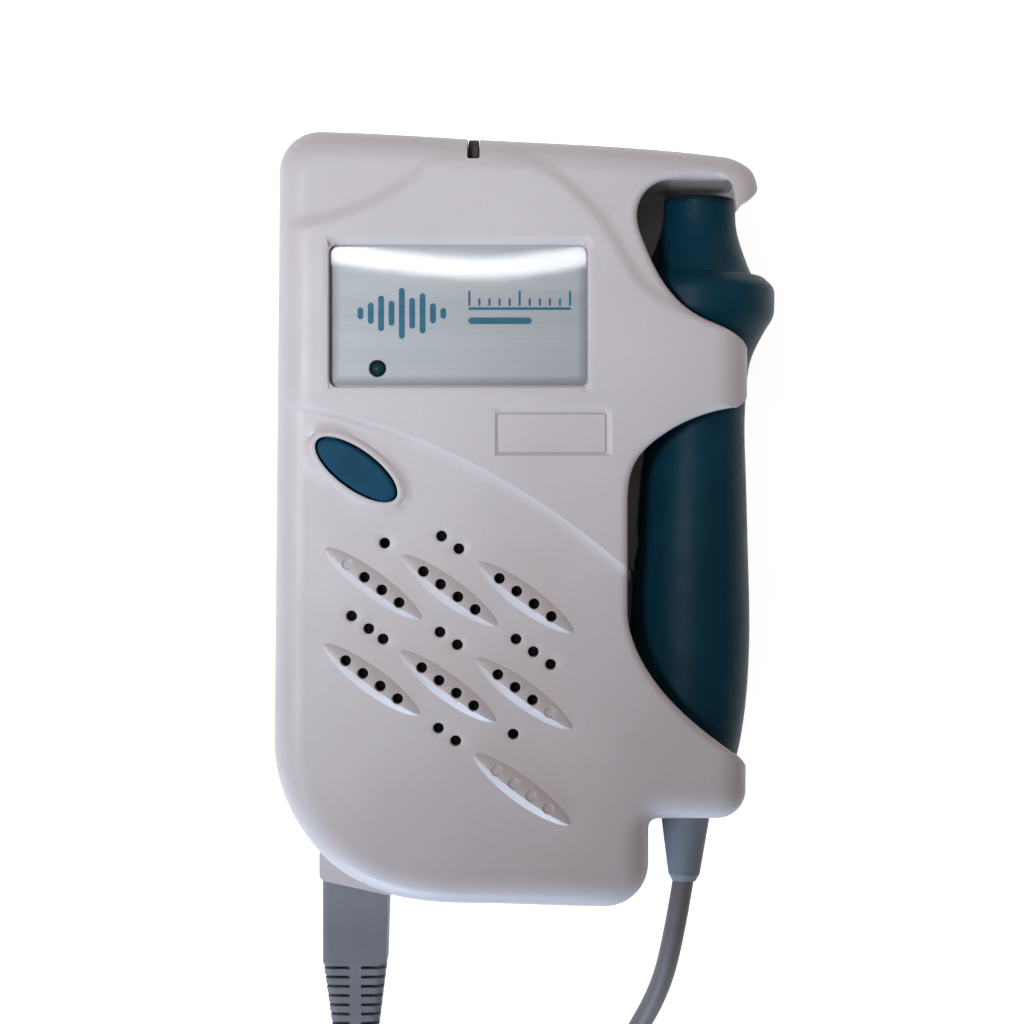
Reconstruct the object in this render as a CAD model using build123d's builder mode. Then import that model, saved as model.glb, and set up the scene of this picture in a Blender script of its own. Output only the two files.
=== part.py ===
from build123d import *
import math
import os

os.makedirs("parts", exist_ok=True)

# A hand-held doppler monitor with its probe docked and its lead plugged in.
# X runs across the case, Y along it towards the top end, Z out of the front face.
# The back lies on z = 0 and the two shells meet half way up. All sizes are millimetres.

# Case
case_depth = 35.0
parting_z = case_depth / 2
wall = 2.3  # side walls
plate = 2.4  # front and back plates
floor_z = plate
ceiling_z = case_depth - plate
left_x = -43.2
right_x, cup_x = 37.4, 37.1  # right side of the arm and of the cup
rim_round = 5.5  # rounding of the front rim
back_round = 3.0  # rounding of the back rim
lip_bevel = 0.5  # bevel of the cut-outs' front edges
zone_step = 0.6  # how far the display zone stands above the rest of the face

# Probe dock, open to +X
dock_x = 16.6  # wall between the dock and the case's inside
dock_low_y, dock_high_y = -49.0, 57.1
cup_low_y = -51.1
cup_round, foot_round = 4.9, 7.4
body_low_x, case_low_y = 20.5, -66.1  # right wall of the case below the cup, and its foot
lip_x = 35.2  # the arm and the cup turn down beyond this
lip_z = 29.2
ribs = {21.0: 8.8, -10.0: 10.05, -43.0: 8.9}  # cradle ribs: place along the dock and the probe's radius there
rib_thick = 1.8
dock_gap = 0.5  # room between a cradle rib and the probe

# Probe: turned about an axis that leans to the right at the top
lean = 1.33  # degrees
probe_x = 28.91  # where the axis crosses Y = 0
grip_low, collar_low, neck_low, face_low, face_top = -47.0, 33.2, 42.6, 54.6, 56.0
collar_r, neck_top_r = 13.45, 6.25
bore_r, neck_bore_r = 5.6, 4.4
relief_low, relief_r = -63.5, 4.4

# Window in the display zone
window_x, window_y = -11.7, 34.05  # centre of the lens
lens_w, lens_h, lens_thick = 43.1, 23.3, 0.9
lens_sunk = 1.0
label_thick = 0.25
window_gap = 0.25
bevel_rise = 1.5  # the sloped wall above the window
led_x, led_y, led_r = -25.4, 25.3, 1.45

# Power button
button_x, button_y, button_turn = -28.9, 8.2, -36.0
button_a, button_b = 7.85, 2.95  # half axes of the cap
button_gap = 0.3
button_travel = 0.6
stem_low_z = 27.9

# Thumbwheel at the top edge
wheel_x, wheel_y, wheel_z = -9.2, 59.5, 27.1
wheel_r, wheel_thick = 5.2, 1.8
slot_w = 2.1
shaft_r, shaft_fit = 1.2, 0.05

# Speaker lattice: leaves in columns and rows, their holes on a slant
hole_r = 0.9
hole_step = Vector(2.912, -2.133)
column_step = Vector(12.80, -1.17)
row_step = Vector(-0.27, -16.16)
first_hole = Vector(-30.4, -7.77)
half_row = Vector(-0.13, -8.08)
leaf_long, leaf_wide, leaf_high = 20.0, 3.5, 0.7
leaf_places = [(0, 0), (1, 0), (2, 0), (0, 1), (1, 1), (2, 1), (2, 2)]
blind_holes = [(0, 0, 0), (2, 1, 3), (2, 2, 0), (2, 2, 1), (2, 2, 2), (2, 2, 3)]
loose_holes = {
    (0, -1): (2.1,), (1, -1): (1, 2), (0, 0): (0.28, 1.28, 2.1), (1, 0): (1, 2),
    (2, 0): (1, 2, 3), (1, 1): (1, 2), (2, 1): (0.93,),
}

# Speaker
speaker_x, speaker_y, speaker_r = -13.3, -20.5, 18.5
gasket_thick = 0.7
cloth_thick = 0.25

# Batteries: two AA cells side by side in a well that opens at the back
cell_r, cell_long, cell_pitch = 7.1, 49.5, 15.2
well_x = -13.6
well_w, well_low_y, well_high_y = 32.0, -46.0, 11.0
well_wall = 2.4
cell_z = 9.9
door_thick, door_gap, door_lap = 2.2, 0.4, 1.0
door_pin_r, door_pin_fit = 0.7, 0.08
contact_w, contact_thick, bridge_w = 11.0, 0.4, 6.0
spring_low_r, spring_high_r, spring_wire = 4.4, 2.8, 1.0
nub_r, nub_high = 2.7, 1.0

# Boards
board_z, board_thick = 22.0, 1.6
board_top = board_z + board_thick
board_corners = [
    (-39.3, 1.5), (12.3, 1.5), (12.3, 52.6), (5.6, 52.6), (5.6, 60.4), (-32.4, 60.4), (-32.4, 54.0),
    (-39.3, 54.0),
]
post_r = 2.2
board_posts = [(-37.0, 48.0), (9.5, 48.0), (9.5, 17.0), (-37.0, 22.0)]

# Screws that join the shells
screw_places = [(-36.3, 58.2), (9.3, 56.8), (-37.0, -34.0), (13.0, -57.5)]
boss_r, screw_r, head_r, head_z = 3.0, 1.3, 2.4, 6.0

# Sockets
jack_x, jack_z = -30.4, 10.0
jack_w, jack_h, jack_low_y, jack_high_y = 10.2, 10.8, -62.2, -48.5
jack_gap = 0.3
phone_x, phone_z, phone_r, phone_deep = -24.0, 11.5, 1.8, 14.0

# Plug and its boot
plug_w, plug_h = 11.6, 9.0
plug_low_y, boot_low_y = -78.7, -104.3
plug_low_x = -24.95  # right side of the plug at its foot
insert_w, insert_h, insert_high_y = 8.4, 6.0, -52.6
insert_z = 10.2
housing = [(-36.5, -50.0), (-36.5, -63.5), (-24.6, -66.1), (-14.0, -65.4), (-14.0, -50.0)]

# Cord
cord_r = 1.85
coil_x, coil_y, coil_mean_r = -8.0, -136.0, 19.0
coil_rows, coil_layers = 4, 2  # turns side by side, and one on another

# Worked out from the above
window_floor_z = case_depth - lens_sunk - lens_thick - label_thick
pad_thick = 1.6
relief_x = probe_x + dock_low_y * math.tan(math.radians(lean))
relief_slot_r = relief_r + dock_gap
arm_rib_y, arm_rib_r = 21.0, ribs[21.0] + dock_gap
door_w, door_low_y = well_w + 2 * door_lap, well_low_y - door_lap
door_high_y = well_high_y + door_lap
hinge_y, hinge_z = door_high_y - door_thick / 2, door_thick / 2
button_rim = 0.45
slot_low_y = 60.5
plate_x, plate_y, plate_w, plate_h = 4.0, 14.3, 18.5, 6.9
screw_bite = 7.0
door_pin_long = 1.0
relief_hole_r, spigot_r, face_round = 2.6, 5.0, 0.9
pin_pitch = 1.02
boot_w, boot_h, boot_end_w, boot_end_h = 11.2, 8.6, 4.6, 4.6
boot_x = jack_x - 0.15
boot_slots, boot_pitch, boot_slot, boot_spine = 14, 1.66, 0.55, 2.0
boot_collar = 0.8  # plain part above the first slot
roof_z, roof_thick = cell_z + cell_r + 0.3, 1.1
phone_body_w, phone_body_h, phone_body_low_y, phone_body_high_y = 6.4, 6.4, 51.0, 63.0
phone_nose_r, phone_nose_y = 2.9, 65.6
led_high = 5.2
button_flange_z, button_top_z = ceiling_z - 1.4, case_depth - zone_step + 0.75
plunger_low_z, plunger_r, plunger_cup_r = 25.6, 1.2, 1.7
switch_w, switch_legs_w, switch_high = 6.0, 8.4, 2.9
stem_r, flange_w, flange_thick = 1.5, 1.3, 1.1
wheel_teeth = 20
shaft_low, shaft_high = 1.6, 4.4
pot_off, pot_down, pot_w, pot_long = 1.7, 1.6, 4.2, 7.4
chips = [  # centre, width, length, height
    (-30.0, 40.0, 9.0, 9.0, 1.2), (-31.0, 18.0, 6.0, 5.0, 1.6), (-16.0, 12.5, 8.0, 5.0, 1.4),
    (-3.0, 9.0, 5.0, 4.0, 1.2),
]
can_x, can_y, can_w, can_h, can_high = -6.0, 33.0, 22.0, 22.0, 3.2


def at_probe(t, off=0.0):
    """The point of the probe's axis at t along it, moved off square to it in the plane of the case."""
    a = math.radians(lean)
    return (
        probe_x + t * math.sin(a) + off * math.cos(a),
        t * math.cos(a) - off * math.sin(a),
        parting_z,
    )


probe_plane = Plane(
    origin=at_probe(0),
    x_dir=Vector(*at_probe(0, 1)) - Vector(*at_probe(0)),
    z_dir=(0, 0, 1),
)
probe_axis = Axis(probe_plane.origin, probe_plane.y_dir)

# Room for the probe's collar in the dock's wall: radius and place along the probe's axis
collar_scoop = [
    (0, collar_low - 3.0), (collar_r - 1.0, collar_low - 3.0), (collar_r + dock_gap, collar_low + 1.0),
    (collar_r + dock_gap, neck_low - 1.0), (collar_r - 2.0, neck_low + 1.5), (0, neck_low + 1.5),
]

# The case in front view, as if the dock's side were closed
top_left, top_right = (-35.4, 65.8), (33.4, 61.5)
with BuildSketch() as case_face:
    with BuildLine():
        Line((left_x, -38.0), (-42.3, 59.0))
        ThreePointArc((-42.3, 59.0), (-40.25, 63.8), top_left)
        top_edge = Spline(top_left, (-9.2, 64.5), top_right, tangents=[(1, -0.02), (1, -0.13)])
        nose = TangentArc(top_right, (39.2, 55.8), tangent=(1, -0.13))
        Spline((39.2, 55.8), (right_x, 40.0), tangents=[nose % 1, (0, -1)])
        Line((right_x, 40.0), (cup_x, cup_low_y + cup_round))
        RadiusArc((cup_x, cup_low_y + cup_round), (cup_x - cup_round, cup_low_y), cup_round)
        Line((cup_x - cup_round, cup_low_y), (body_low_x + 1.2, cup_low_y))
        RadiusArc((body_low_x + 1.2, cup_low_y), (body_low_x, cup_low_y - 1.2), -1.2)
        Line((body_low_x, cup_low_y - 1.2), (body_low_x, case_low_y + foot_round))
        RadiusArc((body_low_x, case_low_y + foot_round), (body_low_x - foot_round, case_low_y), foot_round)
        Spline(
            (body_low_x - foot_round, case_low_y), (-6.0, -65.6), (-20.0, -64.75), (-32.1, -59.75),
            (-39.3, -51.7), (left_x, -38.0),
            tangents=[(-1, 0), (0, 1)],
        )
    make_face()

# Cut-outs over the dock: A above the arm, B below it. Past the open side they run wide of the case.
visor_end = [(34.4, dock_high_y), (34.9, 54.6), (35.2, 51.9), (38.2, 54.4), (39.9, 54.9)]
with BuildSketch() as cut_out_a:
    with BuildLine():
        Spline(
            (37.0, 29.2), (34.6, 31.3), (29.3, 33.9), (23.6, 38.8), (19.5, 46.7), (18.4, 51.2), (19.9, 55.2),
            (24.0, dock_high_y),
            tangents=[(-0.8, 0.5), (1, 0)],
        )
        Polyline((24.0, dock_high_y), *visor_end, (50, 54.9), (50, 29.2), (37.0, 29.2))
    make_face()
with BuildSketch() as cut_out_b:
    with BuildLine():
        Spline(
            (36.4, 18.9), (29.3, 17.4), (22.2, 13.7), (18.0, 9.2), (16.8, 2.0),
            tangents=[(-1, -0.1), (0, -1)],
        )
        Line((16.8, 2.0), (16.8, -15.5))
        Spline(
            (16.8, -15.5), (19.0, -23.6), (25.6, -32.3), (36.5, -41.0),
            tangents=[(0, -1), (1, -0.6)],
        )
        Polyline((36.5, -41.0), (50, -41.0), (50, 18.9), (36.4, 18.9))
    make_face()

# Round corners of the arm and the cup at the open side: three points of each arc, and the corner cut off
side_corners = [
    [(35.4, 30.7), (36.8, 29.5), (37.6, 27.4), (39.0, 31.0)],
    [(35.4, 18.8), (36.8, 19.9), (37.6, 22.0), (39.0, 18.0)],
    [(35.3, -40.1), (36.7, -41.5), (37.4, -43.4), (39.0, -40.0)],
]
# The dock's floor stops short of the neck's side
with BuildSketch() as neck_notch:
    with BuildLine():
        ThreePointArc((35.2, 51.9), (35.0, 46.5), (39.0, 39.0))
        Polyline((39.0, 39.0), (50, 39.0), (50, 54.9), (39.9, 54.9), (38.2, 54.4), (35.2, 51.9))
    make_face()

# Inside of the case, left of the dock and above the cup's floor: the same line, a wall further in
inside_x, inside_low_x = dock_x - 2.2, body_low_x - wall
inside_low_y, inside_round = case_low_y + wall, foot_round - wall
with BuildSketch() as case_inside:
    with BuildLine():
        Line((left_x + wall, -38.0), (-42.4 + wall, 59.0))
        ThreePointArc((-42.4 + wall, 59.0), (-38.7, 62.2), (-35.4, 65.9 - wall))
        Spline(
            (-35.4, 65.9 - wall), (-9.2, 64.6 - wall), (inside_x, 63.35 - wall),
            tangents=[(1, -0.02), (1, -0.07)],
        )
        Polyline(
            (inside_x, 63.35 - wall), (inside_x, cup_low_y - wall), (inside_low_x, cup_low_y - wall),
            (inside_low_x, inside_low_y + inside_round),
        )
        RadiusArc(
            (inside_low_x, inside_low_y + inside_round), (inside_low_x - inside_round, inside_low_y),
            inside_round,
        )
        Spline(
            (inside_low_x - inside_round, inside_low_y), (-6.0, -65.7 + wall), (-19.6, -62.6), (-30.7, -58.0),
            (-37.4, -50.4), (left_x + wall, -38.0),
            tangents=[(-1, 0), (0, 1)],
        )
    make_face()

# Parts of the face that lie lower than the display zone
with BuildSketch() as low_zones:
    with BuildLine():
        Spline((-50, 20.6), (-40.4, 19.6), (-27.9, 16.7), (-10.8, 10.0), (6.4, -0.3), (22.0, -12.9))
        Polyline((22.0, -12.9), (50, -12.9), (50, -80), (-50, -80), (-50, 20.6))
    make_face()
    with BuildLine():
        Spline((-15.2, 70), (-15.5, 62.8), (-22.7, 55.0), (-28.4, 52.2), (-39.5, 49.2), (-50, 47.5))
        Polyline((-50, 47.5), (-50, 70), (-15.2, 70))
    make_face()
    with BuildLine():
        Spline((-8.0, 64.0), (-2.7, 61.8), (6.2, 56.4), (14.1, 47.5), (19.0, 39.7), (26.5, 34.8), (34, 32.6))
        Polyline((34, 32.6), (50, 32.6), (50, 70), (-8, 70), (-8.0, 64.0))
    make_face()


# One leaf of the lattice at its foot and at its crest, about its own centre
def leaf_shape(long, wide):
    """A pointed oval between two arcs."""
    with BuildSketch() as oval:
        with BuildLine():
            ThreePointArc((-long / 2, 0), (0, wide / 2), (long / 2, 0))
            ThreePointArc((long / 2, 0), (0, -wide / 2), (-long / 2, 0))
        make_face()
    return oval


leaf = leaf_shape(leaf_long, leaf_wide)
leaf_crest = leaf_shape(leaf_long - 3.0, leaf_wide - 1.1)
hole_turn = math.degrees(math.atan2(hole_step.Y, hole_step.X))


def leaf_hole(column, row, k):
    """Centre of hole k on the leaf of one column and row."""
    return first_hole + column_step * column + row_step * row + hole_step * k


def loose_hole(column, row, k):
    """Centre of a hole in the half row below the leaf of one column and row."""
    return leaf_hole(column, row, k) + half_row


through_holes = [
    leaf_hole(c, r, k) for c, r in leaf_places for k in range(4) if (c, r, k) not in blind_holes
]
through_holes += [loose_hole(c, r, k) for (c, r), ks in loose_holes.items() for k in ks]
dimples = [leaf_hole(c, r, k) for c, r, k in blind_holes]

# ---- Front shell ----
with BuildPart() as front_shell:
    with BuildSketch(Plane.XY.offset(parting_z)):
        add(case_face.sketch)
    extrude(amount=case_depth - parting_z)
    fillet(front_shell.faces().sort_by(Axis.Z)[-1].outer_wire().edges(), rim_round)
    # The two cut-outs, with their front edges broken
    with BuildSketch(Plane.XY.offset(parting_z)):
        add(cut_out_a.sketch)
        add(cut_out_b.sketch)
    extrude(amount=case_depth, mode=Mode.SUBTRACT)
    inner_edges = front_shell.faces().sort_by(Axis.Z)[-1].edges().filter_by(
        lambda e: e.center().X > dock_x and cup_low_y + 8 < e.center().Y < dock_high_y + 0.1
    )
    chamfer(inner_edges, lip_bevel)
    # Round corners where the arm and the cup meet the open side
    with BuildSketch(Plane.XY.offset(parting_z)):
        for start, middle, end, corner in side_corners:
            with BuildLine():
                ThreePointArc(start, middle, end)
                Polyline(end, (corner[0], end[1]), corner, start)
            make_face()
    extrude(amount=case_depth, mode=Mode.SUBTRACT)
    # The face outside the display zone lies lower
    with BuildSketch(Plane.XY.offset(case_depth - zone_step)):
        add(low_zones.sketch)
    extrude(amount=zone_step + 1, mode=Mode.SUBTRACT)
    # Inside of the case and the dock
    with BuildSketch(Plane.XY.offset(parting_z)):
        add(case_inside.sketch)
    extrude(amount=ceiling_z - parting_z, mode=Mode.SUBTRACT)
    with BuildSketch(Plane.XY.offset(parting_z)):
        with Locations((dock_x, dock_low_y)):
            Rectangle(lip_x - dock_x, dock_high_y - dock_low_y, align=(Align.MIN, Align.MIN))
    extrude(amount=ceiling_z - parting_z, mode=Mode.SUBTRACT)
    with BuildSketch(Plane.XY.offset(parting_z)):
        with Locations((lip_x - 1, dock_low_y)):
            Rectangle(20, dock_high_y - dock_low_y, align=(Align.MIN, Align.MIN))
    extrude(amount=lip_z - parting_z, mode=Mode.SUBTRACT)
    with BuildSketch(probe_plane):
        Polygon(*collar_scoop, align=None)
    revolve(axis=probe_axis, mode=Mode.SUBTRACT)
    # Slot in the cup's floor that the strain relief slides out through
    with BuildSketch(Plane.XY.offset(parting_z)):
        with Locations((relief_x - relief_slot_r, dock_low_y + 1)):
            Rectangle(60, 5, align=(Align.MIN, Align.MAX))
    extrude(amount=relief_slot_r, mode=Mode.SUBTRACT)
    # Cradle rib under the arm
    with BuildSketch(Plane.XY.offset(ceiling_z)):
        with Locations((dock_x, arm_rib_y)):
            Rectangle(lip_x - dock_x + 1, rib_thick, align=(Align.MIN, Align.CENTER))
    extrude(amount=-(ceiling_z - parting_z - arm_rib_r))
    # Window: a sunk floor for the lens, a sloped wall above it, a pad behind it and a hole for the indicator
    with BuildSketch(Plane.XY.offset(window_floor_z - pad_thick)):
        with Locations((window_x, window_y + 0.6)):
            Rectangle(lens_w + 3.0, lens_h + 4.4)
    extrude(amount=pad_thick)
    with BuildSketch(Plane.XY.offset(window_floor_z)):
        with Locations((window_x, window_y)):
            RectangleRounded(lens_w + 2 * window_gap, lens_h + 2 * window_gap, 0.9)
    extrude(amount=5, mode=Mode.SUBTRACT)
    window_top = window_y + lens_h / 2 + window_gap
    with BuildSketch(Plane.YZ.offset(window_x)):
        with BuildLine():
            Polyline(
                (window_top - 0.1, case_depth - lens_sunk), (window_top, case_depth - lens_sunk),
                (window_top + bevel_rise, case_depth + 0.1), (window_top - 0.1, case_depth + 0.1),
                close=True,
            )
        make_face()
    extrude(amount=lens_w / 2 + window_gap, both=True, mode=Mode.SUBTRACT)
    with Locations((led_x, led_y, window_floor_z)):
        Cylinder(led_r + 0.2, 2 * pad_thick, mode=Mode.SUBTRACT)
    # Button hole with a raised rim
    with BuildSketch(Plane.XY.offset(case_depth - zone_step - 0.3)):
        with Locations(Location((button_x, button_y), button_turn)):
            Ellipse(button_a + button_gap + 0.95, button_b + button_gap + 0.95)
    extrude(amount=0.3 + button_rim, taper=25)
    with BuildSketch(Plane.XY.offset(parting_z)):
        with Locations(Location((button_x, button_y), button_turn)):
            Ellipse(button_a + button_gap, button_b + button_gap)
    extrude(amount=case_depth, mode=Mode.SUBTRACT)
    # Slot for the thumbwheel
    with Locations((wheel_x, slot_low_y, wheel_z - wheel_r - 0.5)):
        Box(slot_w, 20, 20, align=(Align.CENTER, Align.MIN, Align.MIN), mode=Mode.SUBTRACT)
    # Leaves of the speaker lattice and their holes
    for column, row in leaf_places:
        middle = leaf_hole(column, row, 1.5)
        with BuildSketch(Plane.XY.offset(case_depth - zone_step - 0.2)):
            with Locations(Location((middle.X, middle.Y), hole_turn)):
                add(leaf.sketch)
        with BuildSketch(Plane.XY.offset(case_depth - zone_step + leaf_high)):
            with Locations(Location((middle.X, middle.Y), hole_turn)):
                add(leaf_crest.sketch)
        loft(ruled=True)
    with Locations(*[(c.X, c.Y, case_depth) for c in through_holes]):
        Cylinder(hole_r, 4 * plate, mode=Mode.SUBTRACT)
    with Locations(*[(c.X, c.Y, case_depth - zone_step) for c in dimples]):
        Cylinder(hole_r, 1.4, mode=Mode.SUBTRACT)
    # Name recess, left blank
    with BuildSketch(Plane.XY.offset(case_depth - 0.15)):
        with Locations((plate_x, plate_y)):
            RectangleRounded(plate_w, plate_h, 0.4)
    extrude(amount=1, mode=Mode.SUBTRACT)
    # Screw bosses and board posts
    with BuildSketch(Plane.XY.offset(parting_z)):
        with Locations(*screw_places):
            Circle(boss_r)
        add(case_face.sketch, mode=Mode.INTERSECT)
    extrude(amount=ceiling_z + 0.5 - parting_z)
    with BuildSketch(Plane.XY.offset(board_top)):
        with Locations(*board_posts):
            Circle(post_r)
    extrude(amount=ceiling_z + 0.5 - board_top)
    with Locations(*[(x, y, parting_z) for x, y in screw_places]):
        Cylinder(screw_r, 2 * screw_bite, mode=Mode.SUBTRACT)
front_shell.part.label = "front_shell"
export_step(front_shell.part, "parts/front_shell.step")

# ---- Rear shell ----
with BuildSketch() as rear_face:
    add(case_face.sketch)
    with BuildLine():
        Polyline(*housing, close=True)
    make_face()
    housing_corner = rear_face.vertices().filter_by(lambda v: v.X < -36 and v.Y < -60)
    fillet(housing_corner, 1.2)

with BuildPart() as rear_shell:
    with BuildSketch():
        add(rear_face.sketch)
    extrude(amount=parting_z)
    fillet(rear_shell.faces().sort_by(Axis.Z)[0].outer_wire().edges(), back_round)
    # Inside of the case, the socket's bay and the dock
    with BuildSketch(Plane.XY.offset(floor_z)):
        add(case_inside.sketch)
    extrude(amount=parting_z, mode=Mode.SUBTRACT)
    with Locations((jack_x, jack_low_y, jack_z)):
        Box(
            jack_w, jack_high_y - jack_low_y, jack_h,
            align=(Align.CENTER, Align.MIN, Align.CENTER), mode=Mode.SUBTRACT,
        )
    with Locations((jack_x, jack_low_y + 1, insert_z - 0.5)):
        Box(
            insert_w + 2 * jack_gap, 10, insert_h + 2.2,
            align=(Align.CENTER, Align.MAX, Align.CENTER), mode=Mode.SUBTRACT,
        )
    with Locations((dock_x, dock_low_y, floor_z)):
        Box(60, dock_high_y - dock_low_y, 40, align=(Align.MIN, Align.MIN, Align.MIN), mode=Mode.SUBTRACT)
    with BuildSketch(probe_plane):
        Polygon(*collar_scoop, align=None)
    revolve(axis=probe_axis, mode=Mode.SUBTRACT)
    with BuildSketch():
        add(neck_notch.sketch)
    extrude(amount=parting_z, mode=Mode.SUBTRACT)
    # Cradle ribs, hollowed for the probe and open towards the side it leaves by
    for rib_y, probe_r in ribs.items():
        with Locations((dock_x, rib_y, floor_z)):
            Box(lip_x - dock_x, rib_thick, parting_z - floor_z, align=(Align.MIN, Align.CENTER, Align.MIN))
        with BuildSketch(Plane.XZ.offset(-rib_y)):
            with Locations((at_probe(rib_y)[0], parting_z)):
                Circle(probe_r + dock_gap)
                Rectangle(60, 2 * (probe_r + dock_gap), align=(Align.MIN, Align.CENTER))
        extrude(amount=rib_thick, both=True, mode=Mode.SUBTRACT)
    # Slot in the cup's floor for the strain relief
    with BuildSketch(Plane.XZ.offset(-dock_low_y)):
        with Locations((relief_x, parting_z)):
            Circle(relief_slot_r)
            Rectangle(60, 2 * relief_slot_r, align=(Align.MIN, Align.CENTER))
    extrude(amount=4, both=True, mode=Mode.SUBTRACT)
    # Battery well with its roof, and the opening that the door closes
    with BuildSketch(Plane.XY.offset(floor_z / 2)):
        with Locations((well_x, (well_low_y + well_high_y) / 2)):
            Rectangle(well_w + 2 * well_wall, well_high_y - well_low_y + 2 * well_wall)
    extrude(amount=roof_z + roof_thick - floor_z / 2)
    with BuildSketch():
        with Locations((well_x, (well_low_y + well_high_y) / 2)):
            Rectangle(well_w, well_high_y - well_low_y)
    extrude(amount=roof_z, mode=Mode.SUBTRACT)
    with BuildSketch():
        with Locations((well_x, (door_low_y + door_high_y) / 2)):
            Rectangle(door_w + 2 * door_gap, door_high_y - door_low_y + 2 * door_gap)
    extrude(amount=door_thick + door_gap, mode=Mode.SUBTRACT)
    with BuildSketch(Plane.YZ.offset(well_x)):
        with Locations((hinge_y, hinge_z)):
            Circle(door_pin_r + door_pin_fit)
    extrude(amount=door_w / 2 + door_pin_long + door_gap, both=True, mode=Mode.SUBTRACT)
    # Finger notch below the door
    with Locations((well_x, door_low_y - door_gap, 0)):
        Box(12, 3, 1.6, align=(Align.CENTER, Align.MAX, Align.MIN), mode=Mode.SUBTRACT)
    # Screw bosses with counterbores
    with BuildSketch(Plane.XY.offset(floor_z - 0.2)):
        with Locations(*screw_places):
            Circle(boss_r)
    extrude(amount=parting_z - floor_z + 0.2)
    with Locations(*[(x, y, 0) for x, y in screw_places]):
        Cylinder(screw_r + 0.2, 2 * case_depth, mode=Mode.SUBTRACT)
        Cylinder(head_r + 0.2, 2 * head_z, mode=Mode.SUBTRACT)
    # Rest and hole for the headphone jack
    with Locations((phone_x, phone_body_low_y, floor_z - 0.2)):
        Box(
            phone_body_w + 1.6, phone_body_high_y - phone_body_low_y,
            phone_z - phone_body_h / 2 - floor_z + 0.2, align=(Align.CENTER, Align.MIN, Align.MIN),
        )
    with BuildSketch(Plane.XZ.offset(-phone_body_high_y)):
        with Locations((phone_x, phone_z)):
            Circle(phone_nose_r + 0.05)
    extrude(amount=-10, mode=Mode.SUBTRACT)
rear_shell.part.label = "rear_shell"
export_step(rear_shell.part, "parts/rear_shell.step")

# ---- Window ----
lens_z = case_depth - lens_sunk - lens_thick
with BuildPart() as window_lens:
    with BuildSketch(Plane.XY.offset(lens_z)):
        with Locations((window_x, window_y)):
            RectangleRounded(lens_w, lens_h, 0.8)
    extrude(amount=lens_thick)
    chamfer(window_lens.faces().sort_by(Axis.Z)[-1].edges(), 0.2)
window_lens.part.label = "window_lens"
export_step(window_lens.part, "parts/window_lens.step")

with BuildPart() as window_label:
    with BuildSketch(Plane.XY.offset(window_floor_z)):
        with Locations((window_x, window_y)):
            RectangleRounded(lens_w, lens_h, 0.8)
        with Locations((led_x, led_y)):
            Circle(led_r + 0.1, mode=Mode.SUBTRACT)
    extrude(amount=label_thick)
window_label.part.label = "window_label"
export_step(window_label.part, "parts/window_label.step")

with BuildPart() as power_led:
    with Locations((led_x, led_y, lens_z - led_high)):
        Cylinder(led_r, led_high - led_r, align=(Align.CENTER, Align.CENTER, Align.MIN))
        Cylinder(led_r + 0.35, 0.9, align=(Align.CENTER, Align.CENTER, Align.MIN))
    with Locations((led_x, led_y, lens_z - led_r)):
        Sphere(led_r)
    with Locations((led_x - 0.7, led_y, board_top), (led_x + 0.7, led_y, board_top)):
        Box(0.5, 0.5, lens_z - led_high - board_top + 0.2, align=(Align.CENTER, Align.CENTER, Align.MIN))
power_led.part.label = "power_led"
export_step(power_led.part, "parts/power_led.step")

# ---- Power button ----
with BuildPart() as power_button:
    with BuildSketch(Plane.XY.offset(button_flange_z)):
        with Locations(Location((button_x, button_y), button_turn)):
            Ellipse(button_a + flange_w, button_b + flange_w)
    extrude(amount=flange_thick)
    with BuildSketch(Plane.XY.offset(button_flange_z)):
        with Locations(Location((button_x, button_y), button_turn)):
            Ellipse(button_a, button_b)
    extrude(amount=button_top_z - button_flange_z)
    chamfer(power_button.faces().sort_by(Axis.Z)[-1].edges(), 0.55, 0.9)
    with Locations((button_x, button_y, stem_low_z)):
        Cylinder(stem_r, button_flange_z - stem_low_z + 0.1, align=(Align.CENTER, Align.CENTER, Align.MIN))
power_button.part.label = "power_button"
export_step(power_button.part, "parts/power_button.step")

with BuildPart() as switch_plunger:
    with Locations((button_x, button_y, stem_low_z)):
        Cylinder(plunger_cup_r, 0.6, align=(Align.CENTER, Align.CENTER, Align.MAX))
        Cylinder(plunger_r, stem_low_z - plunger_low_z, align=(Align.CENTER, Align.CENTER, Align.MAX))
switch_plunger.part.label = "switch_plunger"
export_step(switch_plunger.part, "parts/switch_plunger.step")

with BuildPart() as tact_switch:
    with Locations((button_x, button_y, board_top)):
        Box(switch_w, switch_w, switch_high, align=(Align.CENTER, Align.CENTER, Align.MIN))
        Box(switch_legs_w, switch_w / 2, 0.4, align=(Align.CENTER, Align.CENTER, Align.MIN))
    chamfer(tact_switch.edges().filter_by(Axis.Z), 0.3)
    with Locations((button_x, button_y, board_top + 0.5)):
        Cylinder(plunger_r + 0.1, 10, align=(Align.CENTER, Align.CENTER, Align.MIN), mode=Mode.SUBTRACT)
tact_switch.part.label = "tact_switch"
export_step(tact_switch.part, "parts/tact_switch.step")

# ---- Thumbwheel ----
wheel_plane = Plane(origin=(wheel_x, wheel_y, wheel_z), x_dir=(0, 1, 0), z_dir=(1, 0, 0))
with BuildPart() as volume_wheel:
    with BuildSketch(wheel_plane):
        Circle(wheel_r)
        with PolarLocations(wheel_r + 0.12, wheel_teeth):
            Circle(0.45, mode=Mode.SUBTRACT)
        Circle(shaft_r, mode=Mode.SUBTRACT)
    extrude(amount=wheel_thick / 2, both=True)
volume_wheel.part.label = "volume_wheel"
export_step(volume_wheel.part, "parts/volume_wheel.step")

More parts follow.
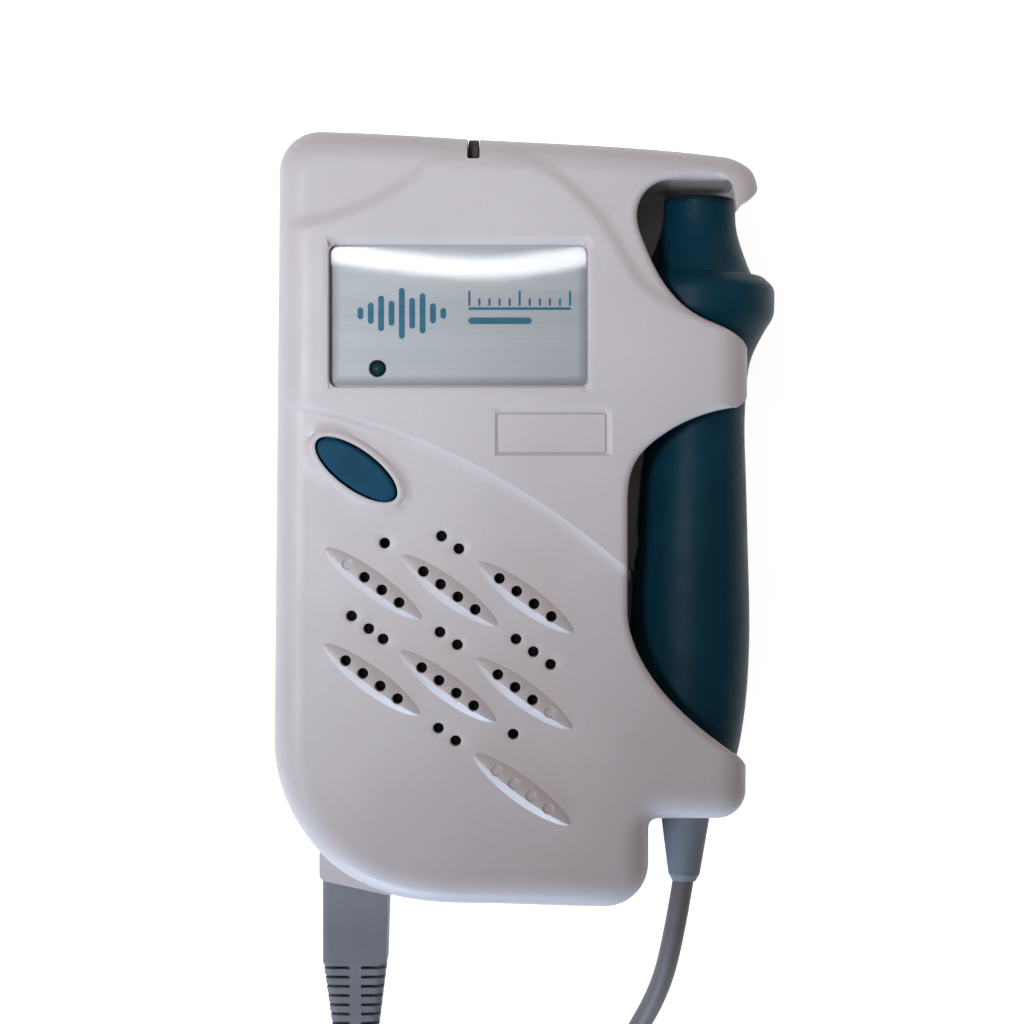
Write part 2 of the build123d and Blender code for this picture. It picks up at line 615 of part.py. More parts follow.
with BuildPart() as wheel_shaft:
    with BuildSketch(wheel_plane.offset(-shaft_low)):
        Circle(shaft_r)
    extrude(amount=shaft_low + shaft_high)
wheel_shaft.part.label = "wheel_shaft"
export_step(wheel_shaft.part, "parts/wheel_shaft.step")

with BuildPart() as volume_pot:
    with Locations((wheel_x + pot_off, wheel_y - pot_down, board_top)):
        Box(pot_w, pot_long, wheel_z + 3.2 - board_top, align=(Align.MIN, Align.CENTER, Align.MIN))
    with BuildSketch(wheel_plane):
        Circle(shaft_r + shaft_fit)
    extrude(amount=shaft_high + 0.4, mode=Mode.SUBTRACT)
volume_pot.part.label = "volume_pot"
export_step(volume_pot.part, "parts/volume_pot.step")

# ---- Boards ----
with BuildPart() as main_board:
    with BuildSketch(Plane.XY.offset(board_z)):
        with BuildLine():
            Polyline(*board_corners, close=True)
        make_face()
        with Locations((wheel_x, wheel_y - wheel_r - 1.0)):
            Rectangle(wheel_thick + 1.3, 20, align=(Align.CENTER, Align.MIN), mode=Mode.SUBTRACT)
    extrude(amount=board_thick)
main_board.part.label = "main_board"
export_step(main_board.part, "parts/main_board.step")

with BuildPart() as board_chips:
    for x, y, w, h, t in chips:
        with Locations((x, y, board_top)):
            Box(w, h, t, align=(Align.CENTER, Align.CENTER, Align.MIN))
board_chips.part.label = "board_chips"
export_step(board_chips.part, "parts/board_chips.step")

with BuildPart() as shield_can:
    with Locations((can_x, can_y, board_top)):
        Box(can_w, can_h, can_high, align=(Align.CENTER, Align.CENTER, Align.MIN))
        Box(
            can_w - 0.8, can_h - 0.8, can_high - 0.4,
            align=(Align.CENTER, Align.CENTER, Align.MIN), mode=Mode.SUBTRACT,
        )
shield_can.part.label = "shield_can"
export_step(shield_can.part, "parts/shield_can.step")

# ---- Speaker ----
with BuildPart() as speaker_gasket:
    with BuildSketch(Plane.XY.offset(ceiling_z - gasket_thick)):
        with Locations((speaker_x, speaker_y)):
            Circle(speaker_r)
            Circle(speaker_r - 1.8, mode=Mode.SUBTRACT)
    extrude(amount=gasket_thick)
speaker_gasket.part.label = "speaker_gasket"
export_step(speaker_gasket.part, "parts/speaker_gasket.step")

with BuildPart() as speaker_cloth:
    with Locations((speaker_x, speaker_y, ceiling_z)):
        Cylinder(speaker_r - 1.8, cloth_thick, align=(Align.CENTER, Align.CENTER, Align.MAX))
speaker_cloth.part.label = "speaker_cloth"
export_step(speaker_cloth.part, "parts/speaker_cloth.step")

speaker_plane = Plane(
    origin=(speaker_x, speaker_y, ceiling_z - gasket_thick), x_dir=(1, 0, 0), z_dir=(0, -1, 0)
)
speaker_axis = Axis((speaker_x, speaker_y, 0), (0, 0, 1))
with BuildPart() as speaker_frame:
    with BuildSketch(speaker_plane):
        with BuildLine():
            Polyline(
                (speaker_r, 0), (speaker_r, -0.8), (speaker_r - 2.2, -0.8), (9.0, -7.0), (2.4, -7.0),
                (2.4, -6.2), (8.6, -6.2), (speaker_r - 2.6, 0), close=True,
            )
        make_face()
    revolve(axis=speaker_axis)
speaker_frame.part.label = "speaker_frame"
export_step(speaker_frame.part, "parts/speaker_frame.step")

with BuildPart() as speaker_cone:
    with BuildSketch(speaker_plane):
        with BuildLine():
            Polyline(
                (speaker_r - 2.75, -0.1), (speaker_r - 3.22, -0.5), (5.0, -4.6), (0, -3.6), (0, -3.1),
                (5.0, -4.1), close=True,
            )
        make_face()
    revolve(axis=speaker_axis)
speaker_cone.part.label = "speaker_cone"
export_step(speaker_cone.part, "parts/speaker_cone.step")

with BuildPart() as speaker_magnet:
    with BuildSketch(speaker_plane):
        with BuildLine():
            Polyline(
                (0, -6.0), (2.3, -6.0), (2.3, -7.0), (9.0, -7.0), (9.0, -10.6), (0, -10.6), close=True
            )
        make_face()
    revolve(axis=speaker_axis)
    chamfer(speaker_magnet.faces().sort_by(Axis.Z)[0].edges(), 0.5)
speaker_magnet.part.label = "speaker_magnet"
export_step(speaker_magnet.part, "parts/speaker_magnet.step")

# ---- Batteries ----
cell_low_y = well_high_y - 1.0 - cell_long  # the upper contacts take the last millimetre
for number, side in ((1, -1), (2, 1)):
    with BuildPart() as battery_cell:
        cell_x = well_x + side * cell_pitch / 2
        nub_up = side < 0  # the two cells lie head to tail
        cell_plane = Plane(
            origin=(cell_x, cell_low_y if nub_up else cell_low_y + cell_long, cell_z),
            x_dir=(1, 0, 0), z_dir=(0, 1 if nub_up else -1, 0),
        )
        with BuildSketch(cell_plane):
            Circle(cell_r)
        extrude(amount=cell_long - nub_high)
        fillet(battery_cell.edges(), 0.6)
        with BuildSketch(cell_plane.offset(cell_long - nub_high)):
            Circle(nub_r)
        extrude(amount=nub_high)
    battery_cell.part.label = f"battery_cell_{number}"
    export_step(battery_cell.part, f"parts/battery_cell_{number}.step")

with BuildPart() as battery_contacts:
    for y, face in ((well_high_y, Align.MAX), (well_low_y, Align.MIN)):
        for side in (-1, 1):
            with Locations((well_x + side * cell_pitch / 2, y, cell_z)):
                Box(contact_w, contact_thick, contact_w, align=(Align.CENTER, face, Align.CENTER))
    with Locations((well_x, well_high_y, cell_z)):
        Box(bridge_w, contact_thick, bridge_w, align=(Align.CENTER, Align.MAX, Align.CENTER))
battery_contacts.part.label = "battery_contacts"
export_step(battery_contacts.part, "parts/battery_contacts.step")

# Coils between the lower contacts and the cells, as stacks of shrinking turns
spring_room = cell_low_y - well_low_y - contact_thick
with BuildPart() as battery_springs:
    for side in (-1, 1):
        spring_plane = Plane(
            origin=(well_x + side * cell_pitch / 2, well_low_y + contact_thick, cell_z),
            x_dir=(1, 0, 0), z_dir=(0, 1, 0),
        )
        with BuildSketch(spring_plane):
            Circle(spring_low_r)
            Circle(spring_low_r - spring_wire, mode=Mode.SUBTRACT)
        with BuildSketch(spring_plane.offset(spring_room)):
            Circle(spring_high_r)
            Circle(spring_high_r - spring_wire, mode=Mode.SUBTRACT)
        loft()
battery_springs.part.label = "battery_springs"
export_step(battery_springs.part, "parts/battery_springs.step")

with BuildPart() as battery_door:
    with BuildSketch():
        with Locations((well_x, (door_low_y + door_high_y) / 2)):
            Rectangle(door_w, door_high_y - door_low_y)
    extrude(amount=door_thick)
    fillet(battery_door.edges().filter_by(Axis.X).group_by(Axis.Y)[-1], door_thick / 2 - 0.01)
    with BuildSketch(Plane.YZ.offset(well_x)):
        with Locations((hinge_y, hinge_z)):
            Circle(door_pin_r)
    extrude(amount=door_w / 2 + door_pin_long, both=True)
    # Grip ribs for the thumb
    for k in range(5):
        with Locations((well_x, door_low_y + 4.0 + 1.8 * k, 0)):
            Box(14.0, 0.8, 0.5, align=(Align.CENTER, Align.CENTER, Align.MIN), mode=Mode.SUBTRACT)
battery_door.part.label = "battery_door"
export_step(battery_door.part, "parts/battery_door.step")

# ---- Case screws ----
with BuildPart() as case_screws:
    for x, y in screw_places:
        with Locations((x, y, head_z)):
            Cylinder(head_r, 1.6, align=(Align.CENTER, Align.CENTER, Align.MAX))
            Cylinder(screw_r, parting_z + screw_bite - head_z, align=(Align.CENTER, Align.CENTER, Align.MIN))
        with Locations((x, y, head_z - 1.6)):
            Box(2.6, 0.6, 0.8, align=(Align.CENTER, Align.CENTER, Align.MIN), mode=Mode.SUBTRACT)
            Box(0.6, 2.6, 0.8, align=(Align.CENTER, Align.CENTER, Align.MIN), mode=Mode.SUBTRACT)
case_screws.part.label = "case_screws"
export_step(case_screws.part, "parts/case_screws.step")

# ---- Sockets ----
with BuildPart() as probe_jack:
    with Locations((jack_x, jack_low_y, jack_z)):
        Box(jack_w, jack_high_y - jack_low_y, jack_h, align=(Align.CENTER, Align.MIN, Align.CENTER))
    with Locations((jack_x, jack_low_y, insert_z - 0.5)):
        Box(
            insert_w + 2 * jack_gap, insert_high_y + 1.6 - jack_low_y, insert_h + 2.2,
            align=(Align.CENTER, Align.MIN, Align.CENTER), mode=Mode.SUBTRACT,
        )
probe_jack.part.label = "probe_jack"
export_step(probe_jack.part, "parts/probe_jack.step")

with BuildPart() as jack_contacts:
    for k in range(6):
        with Locations((jack_x + pin_pitch * (k - 2.5), insert_high_y + 1.6, insert_z + insert_h / 2 + 0.6)):
            Box(0.4, 6.0, 0.25, align=(Align.CENTER, Align.MAX, Align.MAX))
jack_contacts.part.label = "jack_contacts"
export_step(jack_contacts.part, "parts/jack_contacts.step")

with BuildPart() as headphone_jack:
    with Locations((phone_x, phone_body_low_y, phone_z)):
        Box(
            phone_body_w, phone_body_high_y - phone_body_low_y, phone_body_h,
            align=(Align.CENTER, Align.MIN, Align.CENTER),
        )
    with BuildSketch(Plane.XZ.offset(-phone_body_high_y)):
        with Locations((phone_x, phone_z)):
            Circle(phone_nose_r)
    extrude(amount=-(phone_nose_y - phone_body_high_y))
    with BuildSketch(Plane.XZ.offset(-phone_nose_y)):
        with Locations((phone_x, phone_z)):
            Circle(phone_r)
    extrude(amount=phone_deep, mode=Mode.SUBTRACT)
headphone_jack.part.label = "headphone_jack"
export_step(headphone_jack.part, "parts/headphone_jack.step")

# ---- Probe: each shell is turned about the probe's axis, in the probe's own plane ----
with BuildPart() as probe_grip:
    with BuildSketch(probe_plane):
        with BuildLine():
            Line((relief_hole_r, grip_low), (7.0, grip_low))
            Spline(
                (7.0, grip_low), (9.1, -39.5), (10.2, -30.0), (10.45, -22.0), (9.9, -6.7), (9.05, 10.0),
                (8.75, 17.5), (9.05, 24.7), (12.0, collar_low),
                tangents=[(0.4, 1), (0.55, 1)],
            )
            Polyline(
                (12.0, collar_low), (bore_r, collar_low), (bore_r, grip_low + 2.0),
                (relief_hole_r, grip_low + 2.0), (relief_hole_r, grip_low),
            )
        make_face()
    revolve(axis=probe_axis)
probe_grip.part.label = "probe_grip"
export_step(probe_grip.part, "parts/probe_grip.step")

with BuildPart() as probe_collar:
    with BuildSketch(probe_plane):
        with BuildLine():
            Line((bore_r, collar_low), (12.0, collar_low))
            Spline(
                (12.0, collar_low), (13.2, 35.3), (collar_r, 38.4), (13.05, 40.7), (12.1, 41.65),
                (9.5, neck_low),
                tangents=[(0.55, 1), (-1, 0.1)],
            )
            Polyline((9.5, neck_low), (bore_r, neck_low), (bore_r, collar_low))
        make_face()
    revolve(axis=probe_axis)
probe_collar.part.label = "probe_collar"
export_step(probe_collar.part, "parts/probe_collar.step")

with BuildPart() as probe_neck:
    with BuildSketch(probe_plane):
        with BuildLine():
            Line((spigot_r, neck_low), (9.5, neck_low))
            Spline(
                (9.5, neck_low), (8.05, 45.8), (6.7, 49.8), (neck_top_r, face_low),
                tangents=[(-0.6, 1), (0, 1)],
            )
            Polyline(
                (neck_top_r, face_low), (neck_bore_r, face_low), (neck_bore_r, neck_low - 5.0),
                (spigot_r, neck_low - 5.0), (spigot_r, neck_low),
            )
        make_face()
    revolve(axis=probe_axis)
probe_neck.part.label = "probe_neck"
export_step(probe_neck.part, "parts/probe_neck.step")

with BuildPart() as probe_seal:
    with BuildSketch(probe_plane):
        with Locations(((spigot_r + bore_r) / 2, neck_low - 2.5)):
            Rectangle(bore_r - spigot_r, 1.2)
    revolve(axis=probe_axis)
probe_seal.part.label = "probe_seal"
export_step(probe_seal.part, "parts/probe_seal.step")

with BuildPart() as probe_face:
    with BuildSketch(probe_plane):
        with BuildLine():
            Polyline(
                (0, face_top), (0, face_low), (neck_top_r, face_low), (neck_top_r, face_top - face_round)
            )
            RadiusArc((neck_top_r, face_top - face_round), (neck_top_r - face_round, face_top), -face_round)
            Line((neck_top_r - face_round, face_top), (0, face_top))
        make_face()
    revolve(axis=probe_axis)
probe_face.part.label = "probe_face"
export_step(probe_face.part, "parts/probe_face.step")

with BuildPart() as probe_crystals:
    with BuildSketch(probe_plane):
        with Locations((0, face_low)):
            Rectangle(neck_bore_r, 0.7, align=(Align.MIN, Align.MAX))
    revolve(axis=probe_axis)
    with BuildSketch(probe_plane.offset(-neck_bore_r)):
        with Locations((0, face_low)):
            Rectangle(0.5, 4)
    extrude(amount=2 * neck_bore_r, mode=Mode.SUBTRACT)
probe_crystals.part.label = "probe_crystals"
export_step(probe_crystals.part, "parts/probe_crystals.step")

with BuildPart() as probe_backing:
    with BuildSketch(probe_plane):
        with Locations((0, face_low - 0.7)):
            Rectangle(neck_bore_r, 6.5, align=(Align.MIN, Align.MAX))
    revolve(axis=probe_axis)
probe_backing.part.label = "probe_backing"
export_step(probe_backing.part, "parts/probe_backing.step")

with BuildPart() as probe_board:
    with BuildSketch(probe_plane.offset(-0.6)):
        with Locations((0, -2.0)):
            Rectangle(2 * math.sqrt(bore_r ** 2 - 0.36) - 0.02, 74.0)
    extrude(amount=1.2)
probe_board.part.label = "probe_board"
export_step(probe_board.part, "parts/probe_board.step")

with BuildPart() as probe_relief:
    with BuildSketch(probe_plane):
        with BuildLine():
            Polyline(
                (0, grip_low + 3.2), (bore_r, grip_low + 3.2), (bore_r, grip_low + 2.0),
                (relief_hole_r, grip_low + 2.0), (relief_hole_r, grip_low), (relief_r, grip_low - 0.3),
                (relief_r, -51.2), (2.75, relief_low + 1.2), (2.1, relief_low), (0, relief_low),
                close=True,
            )
        make_face()
    revolve(axis=probe_axis)
probe_relief.part.label = "probe_relief"
export_step(probe_relief.part, "parts/probe_relief.step")

# ---- Plug ----
plug_top = [(-36.2, -63.95), (-24.6, -66.5)]  # cut to the slope of the housing
with BuildPart() as plug_body:
    with BuildSketch(Plane.XY.offset(jack_z - plug_h / 2)):
        with BuildLine():
            Polyline(*plug_top, (plug_low_x, plug_low_y), (plug_top[0][0], plug_low_y), close=True)
        make_face()
    extrude(amount=plug_h)
    fillet(plug_body.edges().filter_by(Axis.Y), 1.2)
plug_body.part.label = "plug_body"
export_step(plug_body.part, "parts/plug_body.step")


def plug_top_at(x):
    """Height of the plug's sloped top at one place across it."""
    (x0, y0), (x1, y1) = plug_top
    return y0 + (y1 - y0) * (x - x0) / (x1 - x0)


insert_left, insert_right = jack_x - insert_w / 2, jack_x + insert_w / 2
with BuildPart() as plug_insert:
    with BuildSketch(Plane.XY.offset(insert_z - insert_h / 2)):
        with BuildLine():
            Polyline(
                (insert_left, insert_high_y), (insert_left, plug_top_at(insert_left)),
                (insert_right, plug_top_at(insert_right)), (insert_right, insert_high_y), close=True,
            )
        make_face()
    extrude(amount=insert_h)
    for k in range(6):
        with Locations((jack_x + pin_pitch * (k - 2.5), insert_high_y, insert_z + insert_h / 2)):
            Box(0.5, 6.0, 1.6, align=(Align.CENTER, Align.MAX, Align.MAX), mode=Mode.SUBTRACT)
plug_insert.part.label = "plug_insert"
export_step(plug_insert.part, "parts/plug_insert.step")

with BuildPart() as plug_latch:
    with BuildSketch(Plane.YZ.offset(jack_x)):
        with BuildLine():
            latch_z = insert_z - insert_h / 2
            Polyline(
                (insert_high_y, latch_z), (insert_high_y - 1.2, latch_z - 0.9), (-63.6, latch_z - 1.2),
                (-63.6, latch_z - 0.6), (insert_high_y - 1.6, latch_z), close=True,
            )
        make_face()
    extrude(amount=3.0, both=True)
plug_latch.part.label = "plug_latch"
export_step(plug_latch.part, "parts/plug_latch.step")

with BuildPart() as plug_boot:
    with BuildSketch(Plane.XZ.offset(-plug_low_y)):
        with Locations((boot_x, jack_z)):
            RectangleRounded(boot_w, boot_h, 1.6)
    with BuildSketch(Plane.XZ.offset(-boot_low_y)):
        with Locations((jack_x, jack_z)):
            RectangleRounded(boot_end_w, boot_end_h, 1.6)
    loft()
    # Slots on both halves, with a spine left down the middle and a core inside
    for k in range(boot_slots):
        y = plug_low_y - boot_collar - boot_pitch * k
        for side, outward in ((-1, Align.MAX), (1, Align.MIN)):
            with Locations((jack_x + side * boot_spine / 2, y, jack_z)):
                Box(
                    plug_w, boot_slot, plug_w, align=(outward, Align.CENTER, Align.CENTER),
                    mode=Mode.SUBTRACT,
                )
    with BuildSketch(Plane.XZ.offset(-plug_low_y)):
        with Locations((jack_x, jack_z)):
            Circle(cord_r + 0.75)
    extrude(amount=plug_low_y - boot_low_y)
plug_boot.part.label = "plug_boot"
export_step(plug_boot.part, "parts/plug_boot.step")

# ---- Cord: down from the strain relief to the table, a coil, and up into the boot ----
relief_end = at_probe(relief_low - 0.35)
lead_points = [
    relief_end, (25.9, -72.5, 17.0), (23.6, -84.0, 12.0), (18.2, -95.5, 3.8), (15.0, -106.8, cord_r),
    (14.9, -121.6, cord_r), (coil_x + coil_mean_r + (coil_rows - 1) * cord_r, coil_y, cord_r),
]
tail_points = [
    (-32.55, -131.0, 5.7), (-32.2, -122.0, 7.0), (-30.7, -113.4, 9.6), (jack_x, boot_low_y - 0.15, jack_z),
]


def corner_radii(points):
    """Radius of the arc at each corner: 0.45 of the shorter run over the tangent of half the turn."""
    runs = [Vector(*b) - Vector(*a) for a, b in zip(points, points[1:])]
    return [
        0.45 * min(a.length, b.length) / math.tan(math.radians(a.get_angle(b) / 2))
        for a, b in zip(runs, runs[1:])
    ]


for cord_name, points in (("cord_lead", lead_points), ("cord_tail", tail_points)):
    radii = corner_radii(points)
    with BuildPart() as cord_run:
        with BuildLine():
            cord_line = FilletPolyline(*points, radius=radii)
        with BuildSketch(Plane(origin=cord_line @ 0, z_dir=cord_line % 0)):
            Circle(cord_r)
        sweep()
    whole = math.pi * cord_r ** 2 * cord_line.length
    print(cord_name, "radii", [round(r, 1) for r in radii], "length", round(cord_line.length, 1))
    print(cord_name, "volume over section times length", round(cord_run.part.volume / whole, 4))
    cord_run.part.label = cord_name
    export_step(cord_run.part, f"parts/{cord_name}.step")

coil_plane = Plane(origin=(coil_x, coil_y, coil_layers * cord_r), x_dir=(1, 0, 0), z_dir=(0, -1, 0))
with BuildPart() as cord_coil:
    with BuildSketch(coil_plane):
        with Locations((coil_mean_r, 0)):
            RectangleRounded(2 * coil_rows * cord_r, 2 * coil_layers * cord_r, cord_r)
    revolve(axis=Axis((coil_x, coil_y, 0), (0, 0, 1)))
cord_coil.part.label = "cord_coil"
export_step(cord_coil.part, "parts/cord_coil.step")
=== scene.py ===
import bpy
import numpy as np
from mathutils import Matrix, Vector, geometry


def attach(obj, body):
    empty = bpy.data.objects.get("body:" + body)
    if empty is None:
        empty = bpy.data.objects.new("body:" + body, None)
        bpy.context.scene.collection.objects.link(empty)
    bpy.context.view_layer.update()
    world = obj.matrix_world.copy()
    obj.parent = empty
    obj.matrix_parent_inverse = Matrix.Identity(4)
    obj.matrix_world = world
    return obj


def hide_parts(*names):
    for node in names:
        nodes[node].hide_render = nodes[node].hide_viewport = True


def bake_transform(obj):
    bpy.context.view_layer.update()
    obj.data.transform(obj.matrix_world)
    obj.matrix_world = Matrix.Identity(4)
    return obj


# A hand-held doppler monitor lying on its back, with its probe docked and its lead plugged in.
# X runs across the case, Y along it towards the thumbwheel, Z out of the front face. Lengths are metres.

mm = 0.001
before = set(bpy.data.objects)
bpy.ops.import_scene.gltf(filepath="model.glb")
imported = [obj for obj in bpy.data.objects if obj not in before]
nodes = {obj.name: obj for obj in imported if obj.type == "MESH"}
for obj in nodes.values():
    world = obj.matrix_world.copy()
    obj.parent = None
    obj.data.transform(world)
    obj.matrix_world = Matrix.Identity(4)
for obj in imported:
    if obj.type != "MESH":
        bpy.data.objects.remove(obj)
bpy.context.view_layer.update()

# Camera, straight above the front face
cameraView = {
    "place": (-2.7 * mm, 1.053 * mm, 437.5 * mm),
    "lens": 84.2,  # on a 36 mm sensor
}
cameraData = bpy.data.cameras.new("camera")
cameraData.lens = cameraView["lens"]
cameraData.sensor_width = 36
cameraData.clip_start = 0.01
camera = bpy.data.objects.new("camera", cameraData)
camera.location = cameraView["place"]
bpy.context.collection.objects.link(camera)
bpy.context.scene.camera = camera


def linear(hexColour):
    # sRGB hex to linear light: a straight foot below 0.04045, a power of 2.4 above it
    c = np.array([int(hexColour[i:i + 2], 16) / 255 for i in (1, 3, 5)])
    return np.where(c <= 0.04045, c / 12.92, ((c + 0.055) / 1.055) ** 2.4)


def feed(node, inputs):
    # an input takes a value, a hex colour, or a node whose first live output feeds it
    live = [socket for socket in node.inputs if socket.enabled]
    for name, value in inputs.items():
        socket = live[name] if isinstance(name, int) else next(s for s in live if s.name == name)
        if isinstance(value, bpy.types.Node):
            value = next(output for output in value.outputs if output.enabled)
        if isinstance(value, bpy.types.NodeSocket):
            node.id_data.links.new(value, socket)
        else:
            socket.default_value = (*linear(value), 1.0) if isinstance(value, str) else value


def addNode(tree, kind, inputs=None, **settings):
    # a shader node with its settings and what feeds it
    node = tree.nodes.new("ShaderNode" + kind)
    for name, value in settings.items():
        setattr(node, name, value)
    feed(node, inputs or {})
    return node


def unit(v):
    return v / np.linalg.norm(v, axis=-1, keepdims=True)


def gridQuads(rows, columns, wrapRows=False, wrapColumns=False):
    # quads between the neighbouring points of a grid, whose rows or columns may close on themselves
    row, column = np.meshgrid(np.arange(rows - (not wrapRows)), np.arange(columns - (not wrapColumns)), indexing="ij")
    below, right = (row + 1) % rows * columns, (column + 1) % columns
    row = row * columns
    return np.stack([row + column, row + right, below + right, below + column], -1).reshape(-1, 4)


def newPiece(name, verts, faces, body=None, smooth=True):
    # a mesh object at the origin that rides on a body, when one is given
    mesh = bpy.data.meshes.new(name)
    mesh.from_pydata(np.asarray(verts).tolist(), [], [list(f) for f in faces])
    mesh.validate()
    mesh.polygons.foreach_set("use_smooth", np.full(len(mesh.polygons), smooth))
    piece = bpy.data.objects.new(name, mesh)
    bpy.context.collection.objects.link(piece)
    if body:
        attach(piece, body)
    return piece


# Cords
cordSettings = {
    "radius": 1.85 * mm,
    "sides": 20,
    "coilCentre": (-8.0 * mm, -136.0 * mm),
    "coilMeanRadius": 19.0 * mm,
    "coilRows": 4,  # in each of two layers
    "pointsPerTurn": 20,
    "shiftArc": np.radians(60),  # the arc over which a turn moves to the next row
    "lead": [
        (27.46, -62.6, 17.5), (25.9, -72.5, 17.0), (23.6, -84.0, 12.0), (18.2, -95.5, 3.8),
        (15.0, -106.8, 1.85), (14.9, -121.6, 1.85), (16.55, -136.0, 1.85),
    ],
    "tail": [(-32.2, -122.0, 7.0), (-30.7, -113.4, 9.6), (-30.4, -104.45, 10.0)],
}


def routeLine(name, points, steps):
    # the points of a quadratic B-spline that has the route's points as its control points
    curve = bpy.data.curves.new(name, "CURVE")
    curve.dimensions = "3D"
    spline = curve.splines.new("NURBS")
    spline.points.add(len(points) - 1)
    for point, place in zip(spline.points, points):
        point.co = (*place, 1.0)
    spline.order_u = 3
    spline.use_endpoint_u = True
    spline.resolution_u = steps
    holder = bpy.data.objects.new(name, curve)
    bpy.context.collection.objects.link(holder)
    bpy.context.view_layer.update()
    mesh = bpy.data.meshes.new_from_object(holder)
    line = np.empty(len(mesh.vertices) * 3)
    mesh.vertices.foreach_get("co", line)
    bpy.data.objects.remove(holder)
    bpy.data.meshes.remove(mesh)
    return line.reshape(-1, 3)


def tubeAlong(name, line, radius, sides):
    # a circle carried along the line: each ring lies square to the line, turned from the vertical
    tangent = unit(np.gradient(line, axis=0))
    across = unit(np.cross(tangent, (0, 0, 1)))
    upward = np.cross(across, tangent)
    turn = np.linspace(0, 2 * np.pi, sides, endpoint=False)
    ring = np.cos(turn)[None, :, None] * across[:, None] + np.sin(turn)[None, :, None] * upward[:, None]
    verts = (line[:, None] + radius * ring).reshape(-1, 3)
    quads = gridQuads(len(line), sides, wrapColumns=True)
    ends = np.arange(len(verts)).reshape(-1, sides)
    caps = [ends[0, ::-1].tolist(), ends[-1].tolist()]
    piece = newPiece(name, verts, quads.tolist() + caps)
    for cap in list(piece.data.polygons)[-2:]:
        cap.use_smooth = False
    attribute = piece.data.attributes.new("along", "FLOAT", "POINT")
    attribute.data.foreach_set("value", np.repeat(runAlong(line), sides))
    return piece


def runAlong(line):
    # each point's distance from the line's start, measured along it
    return np.concatenate([[0], np.cumsum(np.linalg.norm(np.diff(line, axis=0), axis=1))])


def lineLength(line):
    return float(runAlong(line)[-1])


def coilPoints(c):
    # turns at one radius each, with an arc at the end of every turn over which the cord moves on to the
    # next row, or up to the next layer; clockwise from above, inwards on the table and outwards on top
    pitch = 2 * c["radius"]
    outermost = c["coilMeanRadius"] + (c["coilRows"] - 1) / 2 * pitch
    rows = [(outermost - pitch * k, c["radius"]) for k in range(c["coilRows"])]
    rows += [(r, c["radius"] + pitch) for r, _ in rows[::-1]]
    step = 2 * np.pi / c["pointsPerTurn"]
    shrink = np.cos(step / 2)  # a quadratic spline runs this much inside its control circle
    turns = len(rows) - 0.5
    angle = np.arange(0, turns * 2 * np.pi + step / 2, step)
    turn = np.minimum((angle / (2 * np.pi)).astype(int), len(rows) - 1)
    onward = np.minimum(turn + 1, len(rows) - 1)
    share = np.clip((angle % (2 * np.pi) - (2 * np.pi - c["shiftArc"])) / c["shiftArc"], 0, 1)
    share = share * share * (3 - 2 * share)
    radiusNow, height = (level[turn] * (1 - share) + level[onward] * share for level in np.array(rows).T)
    x = c["coilCentre"][0] + radiusNow / shrink * np.cos(-angle)
    y = c["coilCentre"][1] + radiusNow / shrink * np.sin(-angle)
    return np.stack([x, y, height], -1)


leadRoute = np.array(cordSettings["lead"]) * mm
leadLine = routeLine("leadRoute", leadRoute, 16)
coilRoute = np.concatenate([coilPoints(cordSettings), np.array(cordSettings["tail"]) * mm])
coilRoute[0] = leadRoute[-1]
coilLine = routeLine("coilRoute", coilRoute, 6)

probeCord = tubeAlong("probe_cord", leadLine, cordSettings["radius"], cordSettings["sides"])
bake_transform(probeCord)
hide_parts("cord_lead")

coiledCord = tubeAlong("coiled_cord", coilLine, cordSettings["radius"], cordSettings["sides"])
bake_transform(coiledCord)
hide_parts("cord_coil", "cord_tail")

print("cords", round(lineLength(leadLine), 4), round(lineLength(coilLine), 4))


def smoothThrough(points, startWay, endWay, steps=14):
    # a cubic through the points, clamped to the two end directions, its second derivative continuous
    p = np.array(points, float)
    h = np.linalg.norm(np.diff(p, axis=0), axis=1)
    n = len(p)
    system = np.zeros((n, n))
    target = np.zeros((n, 2))
    system[0, 0] = system[-1, -1] = 1
    target[0], target[-1] = unit(np.array(startWay, float)), unit(np.array(endWay, float))
    for k in range(1, n - 1):
        system[k, k - 1:k + 2] = h[k], 2 * (h[k - 1] + h[k]), h[k - 1]
        target[k] = 3 * (h[k] * (p[k] - p[k - 1]) / h[k - 1] + h[k - 1] * (p[k + 1] - p[k]) / h[k])
    slope = np.linalg.solve(system, target)
    t = np.linspace(0, 1, steps, endpoint=False)[None, :, None]
    a, b, ma, mb = p[:-1, None], p[1:, None], slope[:-1, None], slope[1:, None]
    step = h[:, None, None]
    line = (
        a * (2 * t ** 3 - 3 * t ** 2 + 1) + ma * step * (t ** 3 - 2 * t ** 2 + t)
        + b * (3 * t ** 2 - 2 * t ** 3) + mb * step * (t ** 3 - t ** 2)
    )
    return np.vstack([line.reshape(-1, 2), p[-1:]])


def arcBetween(a, b, centre, steps=14):
    # the shorter arc from a to b about a centre
    a, b, centre = (np.array(v, float) for v in (a, b, centre))
    start, end = (np.arctan2(*(v - centre)[::-1]) for v in (a, b))
    sweep = (end - start + np.pi) % (2 * np.pi) - np.pi
    turn = start + sweep * np.linspace(0, 1, steps + 1)
    return centre + np.linalg.norm(a - centre) * np.stack([np.cos(turn), np.sin(turn)], -1)


def arcThrough(a, m, b):
    # the centre lies where the two chords' middle perpendiculars cross
    a, m, b = (np.array(v, float) for v in (a, m, b))
    system = 2 * np.array([m - a, b - m])
    centre = np.linalg.solve(system, [m @ m - a @ a, b @ b - m @ m])
    return np.vstack([arcBetween(a, m, centre, 8), arcBetween(m, b, centre, 8)[1:]])


